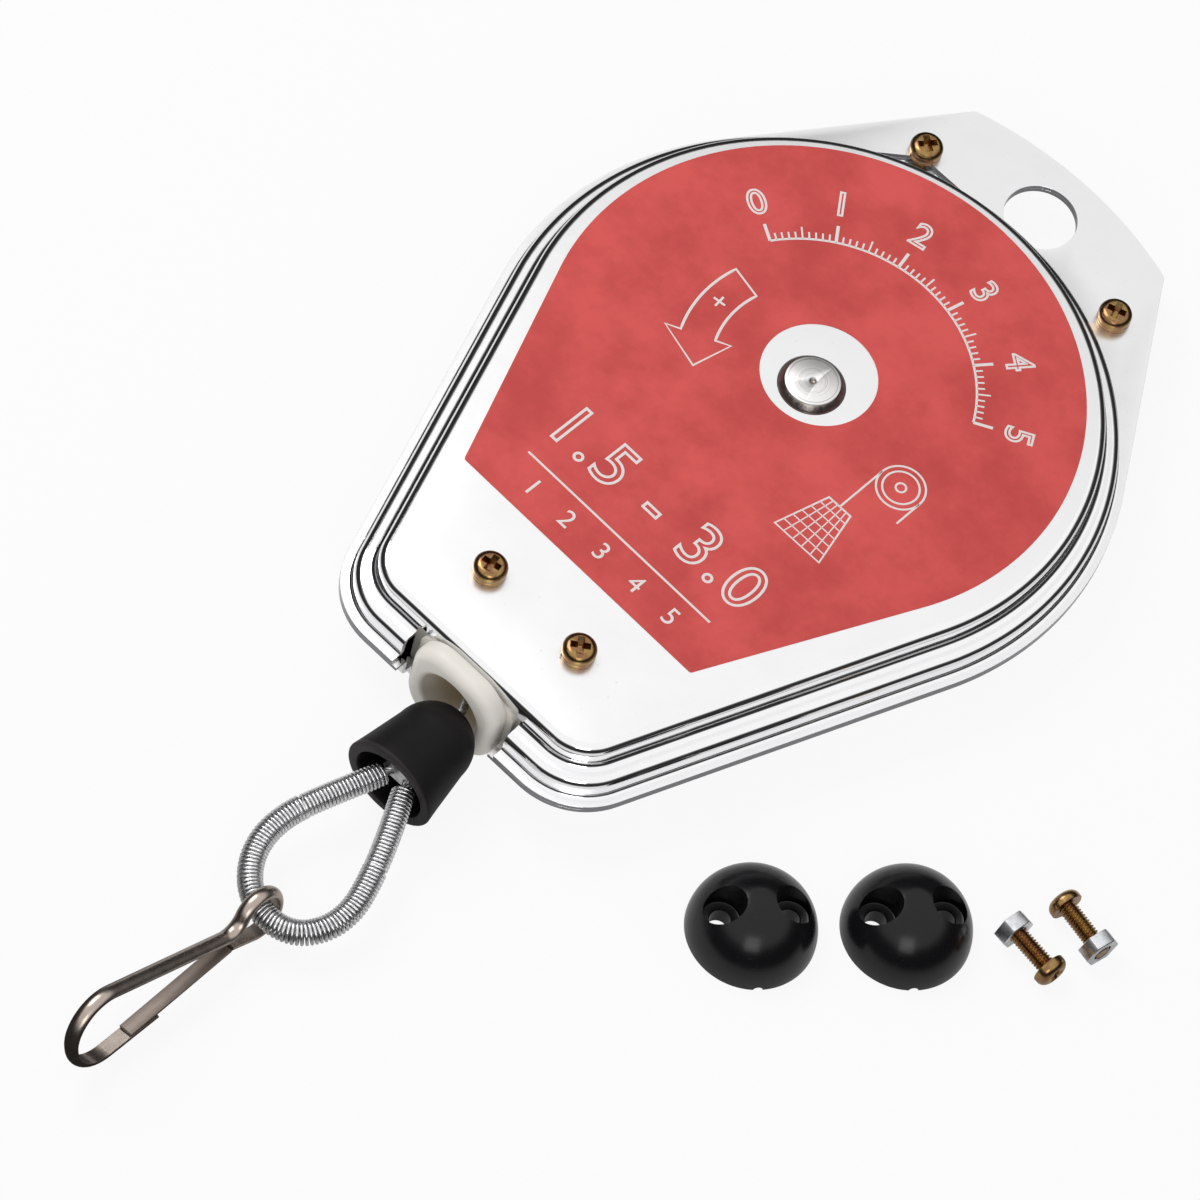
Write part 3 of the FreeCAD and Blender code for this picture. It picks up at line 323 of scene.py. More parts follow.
def nylon():
    """Ivory moulded nylon with painted shade inside the mouth, darker and tan deeper in, and faint flow
    marks.
    """
    f = Finish("bush_ivory_nylon")
    x, y, z = f.parts()
    from_axis = (x * x + z * z).root()
    # Painted shade inside the mouth: strongest near the axis and deeper into the case.
    inside = 1 - f.band(from_axis, 6.2, 9.0)
    deep = f.band(y, -103.8, -99.5)
    flow = f.noise(3.0, 3.0, 0.6)
    base = f.blend(flow, (0.90, 0.86, 0.78), (0.95, 0.92, 0.86))
    # Painted shade: the throat's base colour blended towards a dark tan.
    base = f.blend(inside * (0.35 + 0.55 * deep), base, (0.46, 0.34, 0.17))
    return f.surface(
        Base_Color=base,
        Roughness=0.36 + 0.14 * flow,
        Normal=f.bump(f.noise(0.6, 3.0), 0.012))


def screw_zinc():
    """Yellow zinc with a drifting pink and green sheen and fine darker specks."""
    f = Finish("screw_yellow_zinc")
    drift = f.noise(1.6, 3.0, 0.55)
    fine = f.noise(0.25, 3.0)
    base = f.blend(f.band(drift, 0.38, 0.62), (0.36, 0.24, 0.085), (0.29, 0.14, 0.075))
    base = f.blend(f.band(drift, 0.62, 0.76) * 0.7, base, (0.26, 0.29, 0.11))
    return f.surface(
        Base_Color=f.blend(f.band(fine, 0.5, 0.8) * 0.35, base, (0.20, 0.12, 0.06)),
        Metallic=1.0,
        Roughness=0.16 + 0.14 * fine,
        Normal=f.bump(fine, 0.012))


def metal(name, dark, light, spot, rough, depth=0.01):
    """Machined or drawn metal: two close shades in spots of a size, uneven gloss, fine marks."""
    f = Finish(name)
    cloud = f.noise(spot, 3.0, 0.6)
    fine = f.noise(spot * 0.12, 3.0, 0.6)
    return f.surface(
        Base_Color=f.blend(f.band(cloud, 0.3, 0.7), dark, light),
        Metallic=1.0,
        Roughness=rough + 0.15 * fine,
        Normal=f.bump(fine, depth))


def turned_shaft():
    """Bright turned end with fine concentric marks and a painted shade in its centre, on a cone darkened as
    a painted dark reflection.
    """
    f = Finish("shaft_turned_nickel")
    x, y, z = f.parts()
    from_axis = (x * x + y * y).root()
    marks = f.add("ShaderNodeTexNoise", {"W": from_axis, "Scale": 2.6, "Detail": 5.0, "Roughness": 0.7},
                  noise_dimensions="1D")
    outside = f.band(from_axis, SHAFT_TOP_RADIUS - 0.2, SHAFT_TOP_RADIUS)
    on_face = f.band(z, SHAFT_TOP_Z - 0.25, SHAFT_TOP_Z - 0.1) * (1 - outside)
    groove = f.band(marks, 0.56, 0.63) * on_face
    # Painted shade: a dark spot in the centre of the end face.
    centre = 1 - f.band(from_axis, 0.7, 1.1)
    cloud = f.noise(2.5, 3.0, 0.6)
    # Painted dark reflection: the cone and the rest of the shaft get a dark base, the end face a bright one.
    base = f.blend(cloud, (0.20, 0.17, 0.155), (0.36, 0.325, 0.30))
    base = f.blend(on_face, base, (0.86, 0.85, 0.84))
    return f.surface(
        Base_Color=f.blend((groove * 0.55).at_least(centre * on_face * 0.75), base, (0.25, 0.24, 0.23)),
        Metallic=1.0,
        Roughness=0.24 + 0.1 * cloud + 0.1 * on_face,
        Normal=f.bump(marks * on_face, 0.02))


def hook_nickel():
    """Warm nickel on a rolled strip, with lengthwise drawing marks and darker worn spots."""
    f = Finish("hook_warm_nickel")
    cloud = f.noise(3.0, 3.0, 0.6)
    streaks = f.noise(0.35, 2.0, 0.5, stretch=(1.0, 0.06, 1.0))
    worn = f.band(f.noise(1.2, 4.0, 0.65), 0.55, 0.78)
    base = f.blend(cloud, (0.40, 0.325, 0.275), (0.54, 0.47, 0.42))
    return f.surface(
        Base_Color=f.blend(worn * 0.4, base, (0.24, 0.18, 0.145)),
        Metallic=1.0,
        Roughness=0.2 + 0.1 * cloud + 0.06 * streaks,
        Normal=f.bump(streaks + 0.3 * cloud, 0.006))


def hook_inner():
    """Dull brown-grey flat face of the strip and its gate."""
    f = Finish("hook_inner_face")
    cloud = f.noise(2.0, 4.0, 0.6)
    streaks = f.noise(0.3, 2.0, 0.5, stretch=(1.0, 0.05, 1.0))
    return f.surface(
        Base_Color=f.blend(cloud, (0.20, 0.16, 0.135), (0.29, 0.24, 0.21)),
        Metallic=0.7,
        Roughness=0.42 + 0.14 * streaks,
        Normal=f.bump(streaks, 0.008))


def rubber():
    """Matt black rubber with a faint bloom and a greyer cut rim."""
    f = Finish("stopper_black_rubber")
    rim = f.band(DOME_CENTRE.y - f.parts()[1], 12.1, 12.7)
    bloom = f.noise(4.0, 4.0, 0.6)
    fine = f.noise(0.3, 3.0)
    base = f.blend(bloom, (0.006, 0.005, 0.005), (0.011, 0.010, 0.010))
    return f.surface(
        Base_Color=f.blend(rim * 0.8, base, (0.035, 0.031, 0.030)),
        Roughness=0.46 + 0.14 * fine,
        Specular_IOR_Level=0.16,
        Normal=f.bump(fine, 0.02))


def black_plastic():
    """Glossy black moulding with faint circular polishing and small scuffs."""
    f = Finish("ball_black_plastic")
    bands = f.noise(0.5, 2.0, 0.5, stretch=(0.15, 0.15, 1.6))
    scuff = f.band(f.noise(0.9, 4.0, 0.7), 0.6, 0.75)
    dust = f.noise(0.2, 2.0)
    return f.surface(
        Base_Color=f.blend(scuff * 0.3, (0.006, 0.006, 0.007), (0.022, 0.022, 0.022)),
        Roughness=0.18 + 0.14 * scuff + 0.08 * bands,
        Specular_IOR_Level=0.3,
        Normal=f.bump(bands + 0.2 * dust, 0.008))


def drum_plastic():
    """Dark plain moulding inside the case."""
    f = Finish("drum_plastic")
    cloud = f.noise(5.0, 3.0, 0.6)
    fine = f.noise(0.5, 3.0)
    return f.surface(
        Base_Color=f.blend(cloud, (0.05, 0.05, 0.055), (0.08, 0.08, 0.085)),
        Roughness=0.42 + 0.16 * fine,
        Normal=f.bump(fine, 0.015))


METALS = {
    "nut": ("nut_bright_zinc", (0.60, 0.61, 0.63), (0.78, 0.79, 0.81), 1.4, 0.22),
    "steel": ("inner_steel", (0.38, 0.38, 0.38), (0.52, 0.52, 0.51), 3.0, 0.32),
    "bronze": ("bearing_bronze", (0.48, 0.30, 0.15), (0.60, 0.40, 0.21), 2.0, 0.34),
    "ratchet": ("ratchet_steel", (0.30, 0.30, 0.31), (0.48, 0.48, 0.48), 1.6, 0.28),
    "spring": ("spring_steel", (0.20, 0.21, 0.24), (0.34, 0.34, 0.35), 4.0, 0.26),
    "rope": ("wire_rope_steel", (0.46, 0.46, 0.46), (0.66, 0.66, 0.65), 0.8, 0.26),
    "ferrule": ("ferrule_aluminium", (0.62, 0.62, 0.63), (0.80, 0.80, 0.81), 1.2, 0.3, 0.02),
    "coil": ("loop_spring_wire", (0.68, 0.68, 0.69), (0.84, 0.84, 0.85), 1.0, 0.2),
}
MAKERS = {
    "chrome": chrome, "red": sticker_red, "print": print_white, "nylon": nylon, "screw": screw_zinc,
    "shaft": turned_shaft, "drum": drum_plastic, "rubber": rubber, "hook": hook_nickel,
    "hook_inner": hook_inner, "ball": black_plastic,
}
FINISHES = {}


def finish(name):
    """A finish by its short name, made once."""
    if name not in FINISHES:
        FINISHES[name] = metal(*METALS[name]) if name in METALS else MAKERS[name]()
    return FINISHES[name]


# Shapes

def spot(x, y, radius, turn):
    """Point on a circle at an angle in degrees."""
    angle = math.radians(turn)
    return (x + radius * math.cos(angle), y + radius * math.sin(angle))


def arc(x, y, radius, first, last, steps):
    """Points on a circle from one angle to another, in degrees, ends included."""
    return [spot(x, y, radius, first + (last - first) * i / steps) for i in range(steps + 1)]


def hull(circles, steps, stops=()):
    """Closed outline round circles (x, y, radius) given anticlockwise, with extra stops on its foot."""
    normals = []
    for (xa, ya, ra), (xb, yb, rb) in zip(circles, circles[1:] + circles[:1]):
        heading = math.atan2(yb - ya, xb - xa)
        normals.append(math.degrees(heading - math.acos((ra - rb) / math.hypot(xb - xa, yb - ya))))
    points = []
    for i, (x, y, r) in enumerate(circles):
        start = normals[i - 1]
        sweep = (normals[i] - start) % 360
        points += arc(x, y, r, start, start + sweep, steps[i])
        if i == 1:
            points += [(stop, y - r) for stop in stops]
    return points


def outline(offset):
    """Outline of the case at a distance outside the edge of its face."""
    corner = CORNER_RADIUS + offset
    circles = [(0, 0, FACE_RADIUS + offset), (-CORNER_X, CORNER_Y, corner), (CORNER_X, CORNER_Y, corner)]
    return hull(circles, (110, 14, 14), FOOT_STOPS)


def loop(bm, points, z=None):
    """Closed ring of edges through points."""
    verts = [bm.verts.new(p if z is None else (p[0], p[1], z)) for p in points]
    return [bm.edges.new(pair) for pair in zip(verts, verts[1:] + verts[:1])]


def circle(radius, x=0.0, y=0.0, steps=48):
    """Points of a circle, first one not repeated."""
    return arc(x, y, radius, 0, 360, steps)[:-1]


def skin(bm, rings):
    """Wall through rings of edges, one after another."""
    for first, second in zip(rings, rings[1:]):
        bmesh.ops.bridge_loops(bm, edges=first + second)


def fill(bm, *loops):
    """Flat sheet between an outer loop and the holes in it."""
    edges = [edge for ring in loops for edge in ring]
    bmesh.ops.triangle_fill(bm, edges=edges, use_beauty=True, normal=(0, 0, 1))


def face_out(bm, side=1):
    """Turn all faces one way, so that the widest looks up, or down for side -1."""
    bmesh.ops.recalc_face_normals(bm, faces=bm.faces)
    widest = max(bm.faces, key=lambda f: f.calc_area())
    if widest.normal.z * side < 0:
        bmesh.ops.reverse_faces(bm, faces=bm.faces)


def lathe(profile, steps, closed=False):
    """Turned shape from (radius, height) points, about Z."""
    bm = bmesh.new()
    verts = [bm.verts.new((r, 0, z)) for r, z in profile]
    pairs = list(zip(verts, verts[1:]))
    if closed:
        pairs.append((verts[-1], verts[0]))
    edges = [bm.edges.new(pair) for pair in pairs]
    bmesh.ops.spin(bm, geom=verts + edges, cent=(0, 0, 0), axis=(0, 0, 1), dvec=(0, 0, 0),
                   angle=2 * math.pi, steps=steps, use_merge=True)
    bmesh.ops.remove_doubles(bm, verts=bm.verts, dist=1e-4)
    bmesh.ops.recalc_face_normals(bm, faces=bm.faces)
    return bm


def run_on(bm, edges, way):
    """Carry a loop of edges straight on; gives the loop at the end."""
    made = bmesh.ops.extrude_edge_only(bm, edges=edges)["geom"]
    verts = [item for item in made if isinstance(item, bmesh.types.BMVert)]
    bmesh.ops.translate(bm, vec=way, verts=verts)
    new_edges = [item for item in made if isinstance(item, bmesh.types.BMEdge)]
    return [edge for edge in new_edges if all(v in verts for v in edge.verts)]


def bend_on(bm, edges, centre, degrees, steps):
    """Carry a loop of edges round a centre; gives the loop at the end."""
    verts = list({v for edge in edges for v in edge.verts})
    made = bmesh.ops.spin(bm, geom=verts + edges, cent=centre, axis=(0, 0, 1), dvec=(0, 0, 0),
                          angle=math.radians(degrees), steps=steps, use_merge=False)["geom_last"]
    return [item for item in made if isinstance(item, bmesh.types.BMEdge)]


def close_ends(bm):
    """Cap what is open and turn every face outwards."""
    bmesh.ops.holes_fill(bm, edges=[edge for edge in bm.edges if edge.is_boundary], sides=0)
    bmesh.ops.recalc_face_normals(bm, faces=bm.faces)


def soften(bm, width, angle, segments):
    """Bevel every edge that is sharper than an angle in degrees."""
    limit = math.radians(angle)
    sharp = [edge for edge in bm.edges if edge.is_manifold and edge.calc_face_angle(0) > limit]
    bmesh.ops.bevel(bm, geom=sharp, offset=width, offset_type="OFFSET", segments=segments, profile=0.5,
                    affect="EDGES", clamp_overlap=True, material=-1)


def moved(bm, matrix):
    """The same shape, carried by a matrix."""
    bmesh.ops.transform(bm, matrix=matrix, verts=bm.verts)
    return bm


def as_mesh(name, bm):
    """A mesh from a drawn shape, which is given up."""
    mesh = bpy.data.meshes.new(name)
    bm.to_mesh(mesh)
    bm.free()
    return mesh


def drawn(mesh):
    """A drawn shape from a mesh, which is given up."""
    bm = bmesh.new()
    bm.from_mesh(mesh)
    bpy.data.meshes.remove(mesh)
    return bm


def linked(name, data):
    """A new object in the scene."""
    obj = bpy.data.objects.new(name, data)
    bpy.context.scene.collection.objects.link(obj)
    return obj


def settled(obj):
    """The mesh that an object comes to, with its modifiers or its bevel worked out."""
    bpy.context.view_layer.update()
    return bpy.data.meshes.new_from_object(obj.evaluated_get(bpy.context.evaluated_depsgraph_get()))


def gathered(shapes):
    """Several shapes as one."""
    whole = bmesh.new()
    for bm in shapes:
        mesh = as_mesh("part_of_a_group", bm)
        whole.from_mesh(mesh)
        bpy.data.meshes.remove(mesh)
    return whole


def at_place(x, y, z=0.0, turn=0.0):
    """Matrix that turns about Z, in degrees, then moves."""
    return Matrix.Translation((x, y, z)) @ Matrix.Rotation(math.radians(turn), 4, "Z")


def piece(name, bm, body, look, stands_for=(), slot=None, **more):
    """Put a drawn shape in its place in metres, and make it a piece that rides on a body."""
    bmesh.ops.scale(bm, vec=(MM, MM, MM), verts=bm.verts)
    bmesh.ops.translate(bm, vec=(0, AXLE_Y * MM, 0), verts=bm.verts)
    placed(name, as_mesh(name, bm), body, look, stands_for, slot, **more)


def placed(name, mesh, body, look, stands_for, slot, angle=32.0, modifiers=(), inner=None):
    """Make a mesh that is already in its place a piece that rides on a body."""
    obj = linked(name, mesh)
    mesh.materials.clear()
    mesh.materials.append(finish(look))
    if inner:
        mesh.materials.append(finish(inner))
    if modifiers:
        for kind, settings in modifiers:
            modifier = obj.modifiers.new(kind.title(), kind)
            for key, value in settings.items():
                setattr(modifier, key, value)
        made = settled(obj)
        obj.modifiers.clear()
        obj.data = made
        bpy.data.meshes.remove(mesh)
        made.name = name
    obj.data.shade_smooth()
    obj.data.set_sharp_from_angle(angle=math.radians(angle))
    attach(obj, body)
    if stands_for:
        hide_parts(*stands_for)


def eased(node, name, body, look, slot, edge=0.12):
    """A node's own shape, merged, with its sharp edges eased."""
    bm = bmesh.new()
    bm.from_mesh(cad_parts[node].data)
    bmesh.ops.remove_doubles(bm, verts=bm.verts, dist=2e-6)
    bmesh.ops.dissolve_limit(bm, angle_limit=math.radians(0.6), verts=bm.verts, edges=bm.edges)
    soften(bm, edge * MM, 32.0, 1)
    placed(name, as_mesh(name, bm), body, look, (node,), slot)


def cut_away(name, bm, cutters):
    """A shape less other shapes."""
    whole = linked(name, as_mesh(name, bm))
    tools = []
    for cutter in cutters:
        tool = linked(name + "_cutter", as_mesh(name + "_cutter", cutter))
        modifier = whole.modifiers.new("Cut", "BOOLEAN")
        modifier.operation = "DIFFERENCE"
        modifier.solver = "EXACT"
        modifier.object = tool
        tools.append(tool)
    made = settled(whole)
    for obj in tools + [whole]:
        data = obj.data
        bpy.data.objects.remove(obj)
        bpy.data.meshes.remove(data)
    return drawn(made)


def tubes(name, lines, radius, closed=False):
    """Curve data with a round wire along each list of points."""
    data = bpy.data.curves.new(name, "CURVE")
    data.dimensions = "3D"
    data.bevel_depth = radius
    data.bevel_resolution = 1
    for points in lines:
        spline = data.splines.new("POLY")
        spline.points.add(len(points) - 1)
        for point, place in zip(spline.points, points):
            point.co = (*Vector(place).to_3d(), 1)
        spline.use_cyclic_u = closed
    return data


def outlined(data):
    """Drawn shape of a curve or text, which is given up."""
    obj = linked(data.name, data)
    made = settled(obj)
    bpy.data.objects.remove(obj)
    bpy.data.curves.remove(data)
    bm = drawn(made)
    bmesh.ops.remove_doubles(bm, verts=bm.verts, dist=1e-4)
    return bm


# The case

def tab_outline():
    """Outline of the joint plate: the flange all round, with the hanging tab on top."""
    points = outline(FLANGE_OFFSET)
    reach = FACE_RADIUS + FLANGE_OFFSET
    corner_y = math.sqrt(TAB_TOP ** 2 - TAB_HALF_WIDTH ** 2)
    corner_turn = math.degrees(math.atan2(corner_y, TAB_HALF_WIDTH))
    touch = corner_turn - math.degrees(math.acos(reach / TAB_TOP))
    foot = spot(0, 0, reach, touch)
    eased_by = 0.45
    way = Vector((TAB_HALF_WIDTH - foot[0], corner_y - foot[1])).normalized()
    before = Vector((TAB_HALF_WIDTH, corner_y)) - way * eased_by
    turn_on = corner_turn + math.degrees(eased_by / TAB_TOP)
    after = Vector(spot(0, 0, TAB_TOP, turn_on))
    middle = (before + after) / 4 + Vector((TAB_HALF_WIDTH, corner_y)) / 2
    right = [foot, tuple(before), tuple(middle)]
    top = arc(0, 0, TAB_TOP, turn_on, 180 - turn_on, 40)
    left = [(-x, y) for x, y in reversed(right)]
    gone = [i for i, (x, y) in enumerate(points)
            if y > 0 and touch - 0.5 <= math.degrees(math.atan2(y, x)) <= 180.5 - touch]
    return points[:gone[0]] + right + top + left + points[gone[-1] + 1:]


def cover_profile():
    """Section of a cover from the edge of its face out to the foot of its bead, as (offset, height)."""
    face = arc(-2.0, 10.1, 2.0, 90, 0, 8)
    cove = arc(1.6, 7.6, 1.6, 180, 270, 6)
    bead = arc(2.2, 4.0, 2.0, 90, 0, 8)
    foot = arc(5.1, 1.9, 0.9, 180, 270, 4)
    return face + [(0, 8.6)] + cove + bead + foot


def cut_opening(bm, half_width):
    """Cut the way for the bush through the rim and bead of a cover's foot."""
    planes = [((-half_width, 0, 0), (1, 0, 0)), ((half_width, 0, 0), (1, 0, 0)),
              ((0, 0, OPENING_HALF_HEIGHT), (0, 0, 1)), ((0, 0, -OPENING_HALF_HEIGHT), (0, 0, 1))]
    for place, normal in planes:
        near = [f for f in bm.faces if max(v.co.y for v in f.verts) < FOOT_Y + 3]
        geometry = list({v for f in near for v in f.verts} | {e for f in near for e in f.edges}) + near
        bmesh.ops.bisect_plane(bm, geom=geometry, dist=1e-4, plane_co=place, plane_no=normal)
    doomed = []
    for f in bm.faces:
        middle = f.calc_center_bounds()
        if abs(middle.x) < half_width and middle.y < FOOT_Y + 3 and abs(middle.z) < OPENING_HALF_HEIGHT:
            doomed.append(f)
    bmesh.ops.delete(bm, geom=doomed, context="FACES")


def cover(side, opening_half):
    """One pressed cover: face, rim, bead, flange and tab; side is 1 for front and -1 for rear."""
    bm = bmesh.new()
    rings = [loop(bm, outline(offset), side * z) for offset, z in cover_profile()]
    skin(bm, rings)
    if side > 0:
        holes = [loop(bm, circle(SHAFT_RADIUS + 0.1, steps=64), FACE_Z)]
        holes += [loop(bm, circle(SCREW_HOLE_RADIUS, x, y, 24), FACE_Z) for x, y, _ in CASE_SCREWS]
    else:
        profile = arc(WELL_RADIUS + 0.8, 11.3, 0.8, 90, 180, 4)
        profile += arc(WELL_RADIUS - 0.8, 7.9, 0.8, 0, -90, 4)
        well = [loop(bm, circle(radius, steps=96), -z) for radius, z in profile]
        skin(bm, well)
        fill(bm, well[-1], loop(bm, circle(SHAFT_RADIUS + 1.85), WELL_FLOOR_Z))
        holes = [well[0]]
    fill(bm, rings[0], *holes)
    height = side * FLANGE_Z
    plate_holes = [loop(bm, circle(HANG_HOLE_RADIUS, 0, -AXLE_Y, 64), height)]
    plate_holes += [loop(bm, circle(SCREW_HOLE_RADIUS, x, y, 24), height) for x, y, _ in TAB_SCREWS]
    fill(bm, rings[-1], loop(bm, tab_outline(), height), *plate_holes)
    cut_opening(bm, opening_half)
    face_out(bm, side)
    return bm


# Print on the label

def ink(name, lines, width, closed=True):
    """Printed lines of one width; each line is a list of points."""
    return flattened(tubes(name, lines, width / 2, closed))


def flattened(data):
    """A curve or text as a thin flat shape on height 0."""
    bm = outlined(data)
    top = max(v.co.z for v in bm.verts)
    bmesh.ops.scale(bm, vec=(1, 1, PRINT_HEIGHT / top), verts=bm.verts)
    return bm


def numerals(text, height, x, y, turn, line, spacing=1.0):
    """Numbers centred on a place; with a line width only their outlines are drawn."""
    data = bpy.data.curves.new("numerals", "FONT")
    data.body = text
    data.size = height * 1.37
    data.align_x = "CENTER"
    data.align_y = "CENTER"
    data.space_character = spacing
    if line:
        data.fill_mode = "NONE"
        data.bevel_depth = line / 2
        data.bevel_resolution = 1
    else:
        data.extrude = PRINT_HEIGHT
    return moved(flattened(data), at_place(x, y, 0, turn))


def label_sheet():
    """The sticker as one sheet with its hole."""
    bm = bmesh.new()
    x, y = LABEL_FOOT
    rim = hull([(0, 0, LABEL_RADIUS), (-x, y, 0.6), (x, y, 0.6)], (120, 6, 6))
    turned = Matrix.Rotation(math.radians(LABEL_TURN), 3, "Z")
    edge = [turned @ Vector((*point, 0)) + LABEL_SHIFT for point in rim]
    height = FACE_Z + LABEL_THICKNESS
    hole = circle(LABEL_HOLE_RADIUS, *LABEL_HOLE, 72)
    fill(bm, loop(bm, edge, height), loop(bm, hole, height))
    face_out(bm)
    return bm


def dial():
    """Curved scale above the shaft: an arc, ticks, and numbers 0 to 5."""
    shapes = [ink("scale_arc", [arc(*DIAL_CENTRE, DIAL_RADIUS, 30, 150, 60)], 0.5, False)]
    long_ticks = []
    short_ticks = []
    for i in range(51):
        length = 4.2 if i % 10 == 0 else 2.9 if i % 5 == 0 else 1.7
        tick = [spot(*DIAL_CENTRE, DIAL_RADIUS + far, 150 - i * 2.4) for far in (0, length)]
        (long_ticks if i % 10 == 0 else short_ticks).append(tick)
    shapes.append(ink("long_ticks", long_ticks, 0.7, False))
    shapes.append(ink("short_ticks", short_ticks, 0.4, False))
    for n in range(6):
        turn = 150 - n * 24
        shapes.append(numerals(str(n), 6.2, *spot(*DIAL_CENTRE, 43.0, turn), turn - 90, 0.5))
    return gathered(shapes)


def turn_arrow():
    """Outlined arrow bent round the shaft, with a plus in it."""
    inner, outer, head_in, head_out = 22.0, 29.5, 18.6, 32.9
    middle = (inner + outer) / 2
    start, neck, tip = 168, 207, 224
    points = arc(*DIAL_CENTRE, outer, start, neck, 16)
    points += [spot(*DIAL_CENTRE, *corner) for corner in ((head_out, neck), (middle, tip), (head_in, neck))]
    points += arc(*DIAL_CENTRE, inner, neck, start, 16)
    sign = numerals("+", 4.5, *spot(*DIAL_CENTRE, middle, 186), 6, 0.0)
    return gathered([ink("arrow", [points], 0.6), sign])


def weight_sign():
    """Plain sign of a hung weight: a wheel, a line and a hatched block."""
    x, y = 29.0, -4.0
    left, top = x - 5.2, y - 13
    top_half, foot_half, height = 3.0, 6.2, 13.0
    wheel = [circle(5.2, x, y, 40), circle(3.9, x, y, 36), circle(1.1, x, y, 18)]
    line = [[(left, y), (left, top)], [(x + 5.2, y), (x + 5.2, y - 7)]]
    block = [(left - top_half, top), (left + top_half, top),
             (left + foot_half, top - height), (left - foot_half, top - height)]
    rows = []
    for share in [i / 6.0 for i in range(1, 6)]:
        half = top_half + 3.2 * share
        rows.append([(left - half, top - height * share), (left + half, top - height * share)])
    for share in [i / 5.0 for i in range(1, 5)]:
        rows.append([(left - top_half + 6.0 * share, top), (left - foot_half + 12.4 * share, top - height)])
    return gathered([ink("wheel", wheel, 0.45), ink("line", line, 0.45, False), ink("block", [block], 0.55),
                     ink("hatching", rows, 0.28, False)])


def load_numbers():
    """The two loads in numbers along the foot of the label."""
    x = LABEL_SHIFT.x
    return gathered([numerals("1.5 - 3.0", 11.0, x, -46.0, LABEL_TURN, 0.6, 1.12),
                     ink("rule", [[(-27.0, -56.4), (25.0, -57.2)]], 0.5, False),
                     numerals("1   2   3   4   5", 4.4, x, -62.2, LABEL_TURN, 0.0, 1.15)])


# Fasteners

def pan_head():
    """Domed head with a cross recess, seated on height 0."""
    dome = [(0.0, 2.6), (0.7, 2.59), (1.3, 2.55)] + arc(1.9, 0.9, 1.7, 80, 0, 10)
    rim = [(3.6, 0.15), (3.45, 0.0), (1.7, 0.0), (0.0, 0.0)]
    head = lathe(dome + rim, 56)
    cutters = []
    for turn in (0, 90):
        arm = bmesh.new()
        bmesh.ops.create_cube(arm, size=2.0)
        for v in arm.verts:
            high = v.co.z > 0
            v.co.x *= 2.45 if high else 0.8
            v.co.y *= 0.85 if high else 0.38
            v.co.z = 3.1 if high else 0.9
        cutters.append(moved(arm, Matrix.Rotation(math.radians(turn), 4, "Z")))
    return cut_away("pan_head", head, cutters)


def threaded(length):
    """Screw thread that hangs down from height 0."""
    pitch = 0.7
    bm = bmesh.new()
    bmesh.ops.create_circle(bm, radius=2.0, segments=28, cap_ends=False)
    edges = bm.edges[:]
    crest, groove_depth, tip = 1.98, 0.42, 1.45
    rows = round(length / pitch * 7)
    for _ in range(rows):
        edges = run_on(bm, edges, (0, 0, -length / rows))
    for v in bm.verts:
        depth = -v.co.z
        turn = math.atan2(v.co.y, v.co.x) / (2 * math.pi)
        phase = (depth / pitch + turn) % 1.0
        groove = min(1.0, max(0.0, 1.3 * (1 - abs(2 * phase - 1)) - 0.1))
        radius = crest - groove_depth * groove
        radius = min(radius, tip + max(0.0, length - depth) * 1.1)
        v.co.xy = v.co.xy.normalized() * radius
    close_ends(bm)
    return bm


def screw(length):
    """Pan-head screw with its thread, seated on height 0."""
    return gathered([pan_head(), threaded(length)])


def split_washer():
    """Spring washer: a rounded square wire in one open turn."""
    bm = bmesh.new()
    section = [(2.15, 0.0), (3.45, 0.0), (3.6, 0.15), (3.6, 0.83),
               (3.45, 0.96), (2.2, 0.96), (2.05, 0.83), (2.05, 0.12)]
    edges = loop(bm, [(r, 0, z) for r, z in section])
    verts = bm.verts[:]
    bmesh.ops.rotate(bm, cent=(0, 0, 0), matrix=Matrix.Rotation(math.radians(5), 3, "Z"), verts=verts)
    bmesh.ops.spin(bm, geom=verts + edges, cent=(0, 0, 0), axis=(0, 0, 1), dvec=(0, 0, 0.001),
                   angle=math.radians(350), steps=48, use_merge=False)
    close_ends(bm)
    return bm


def lying(place, turn):
    """Matrix that lays a piece drawn along -Z on the table."""
    return at_place(*place, KIT_AXIS_Z, turn) @ Matrix.Rotation(math.radians(-90), 4, "Y")


# Bush and stopper

RING_STEPS = 12


def rounded_box(half_width, half_height, corner, y):
    """Ring in an upright plane across the cable, with round corners."""
    w = half_width - corner
    h = half_height - corner
    points = []
    for cx, cz, start in ((w, h, 0), (-w, h, 90), (-w, -h, 180), (w, -h, 270)):
        points += [(px, y, pz) for px, pz in arc(cx, cz, corner, start, start + 90, RING_STEPS)]
    return points


def round_ring(radius, y):
    """Ring with the same number of points as a rounded box."""
    points = []
    for start in (0, 90, 180, 270):
        points += [(px, y, pz) for px, pz in arc(0, 0, radius, start + 1.5, start + 88.5, RING_STEPS)]
    return points


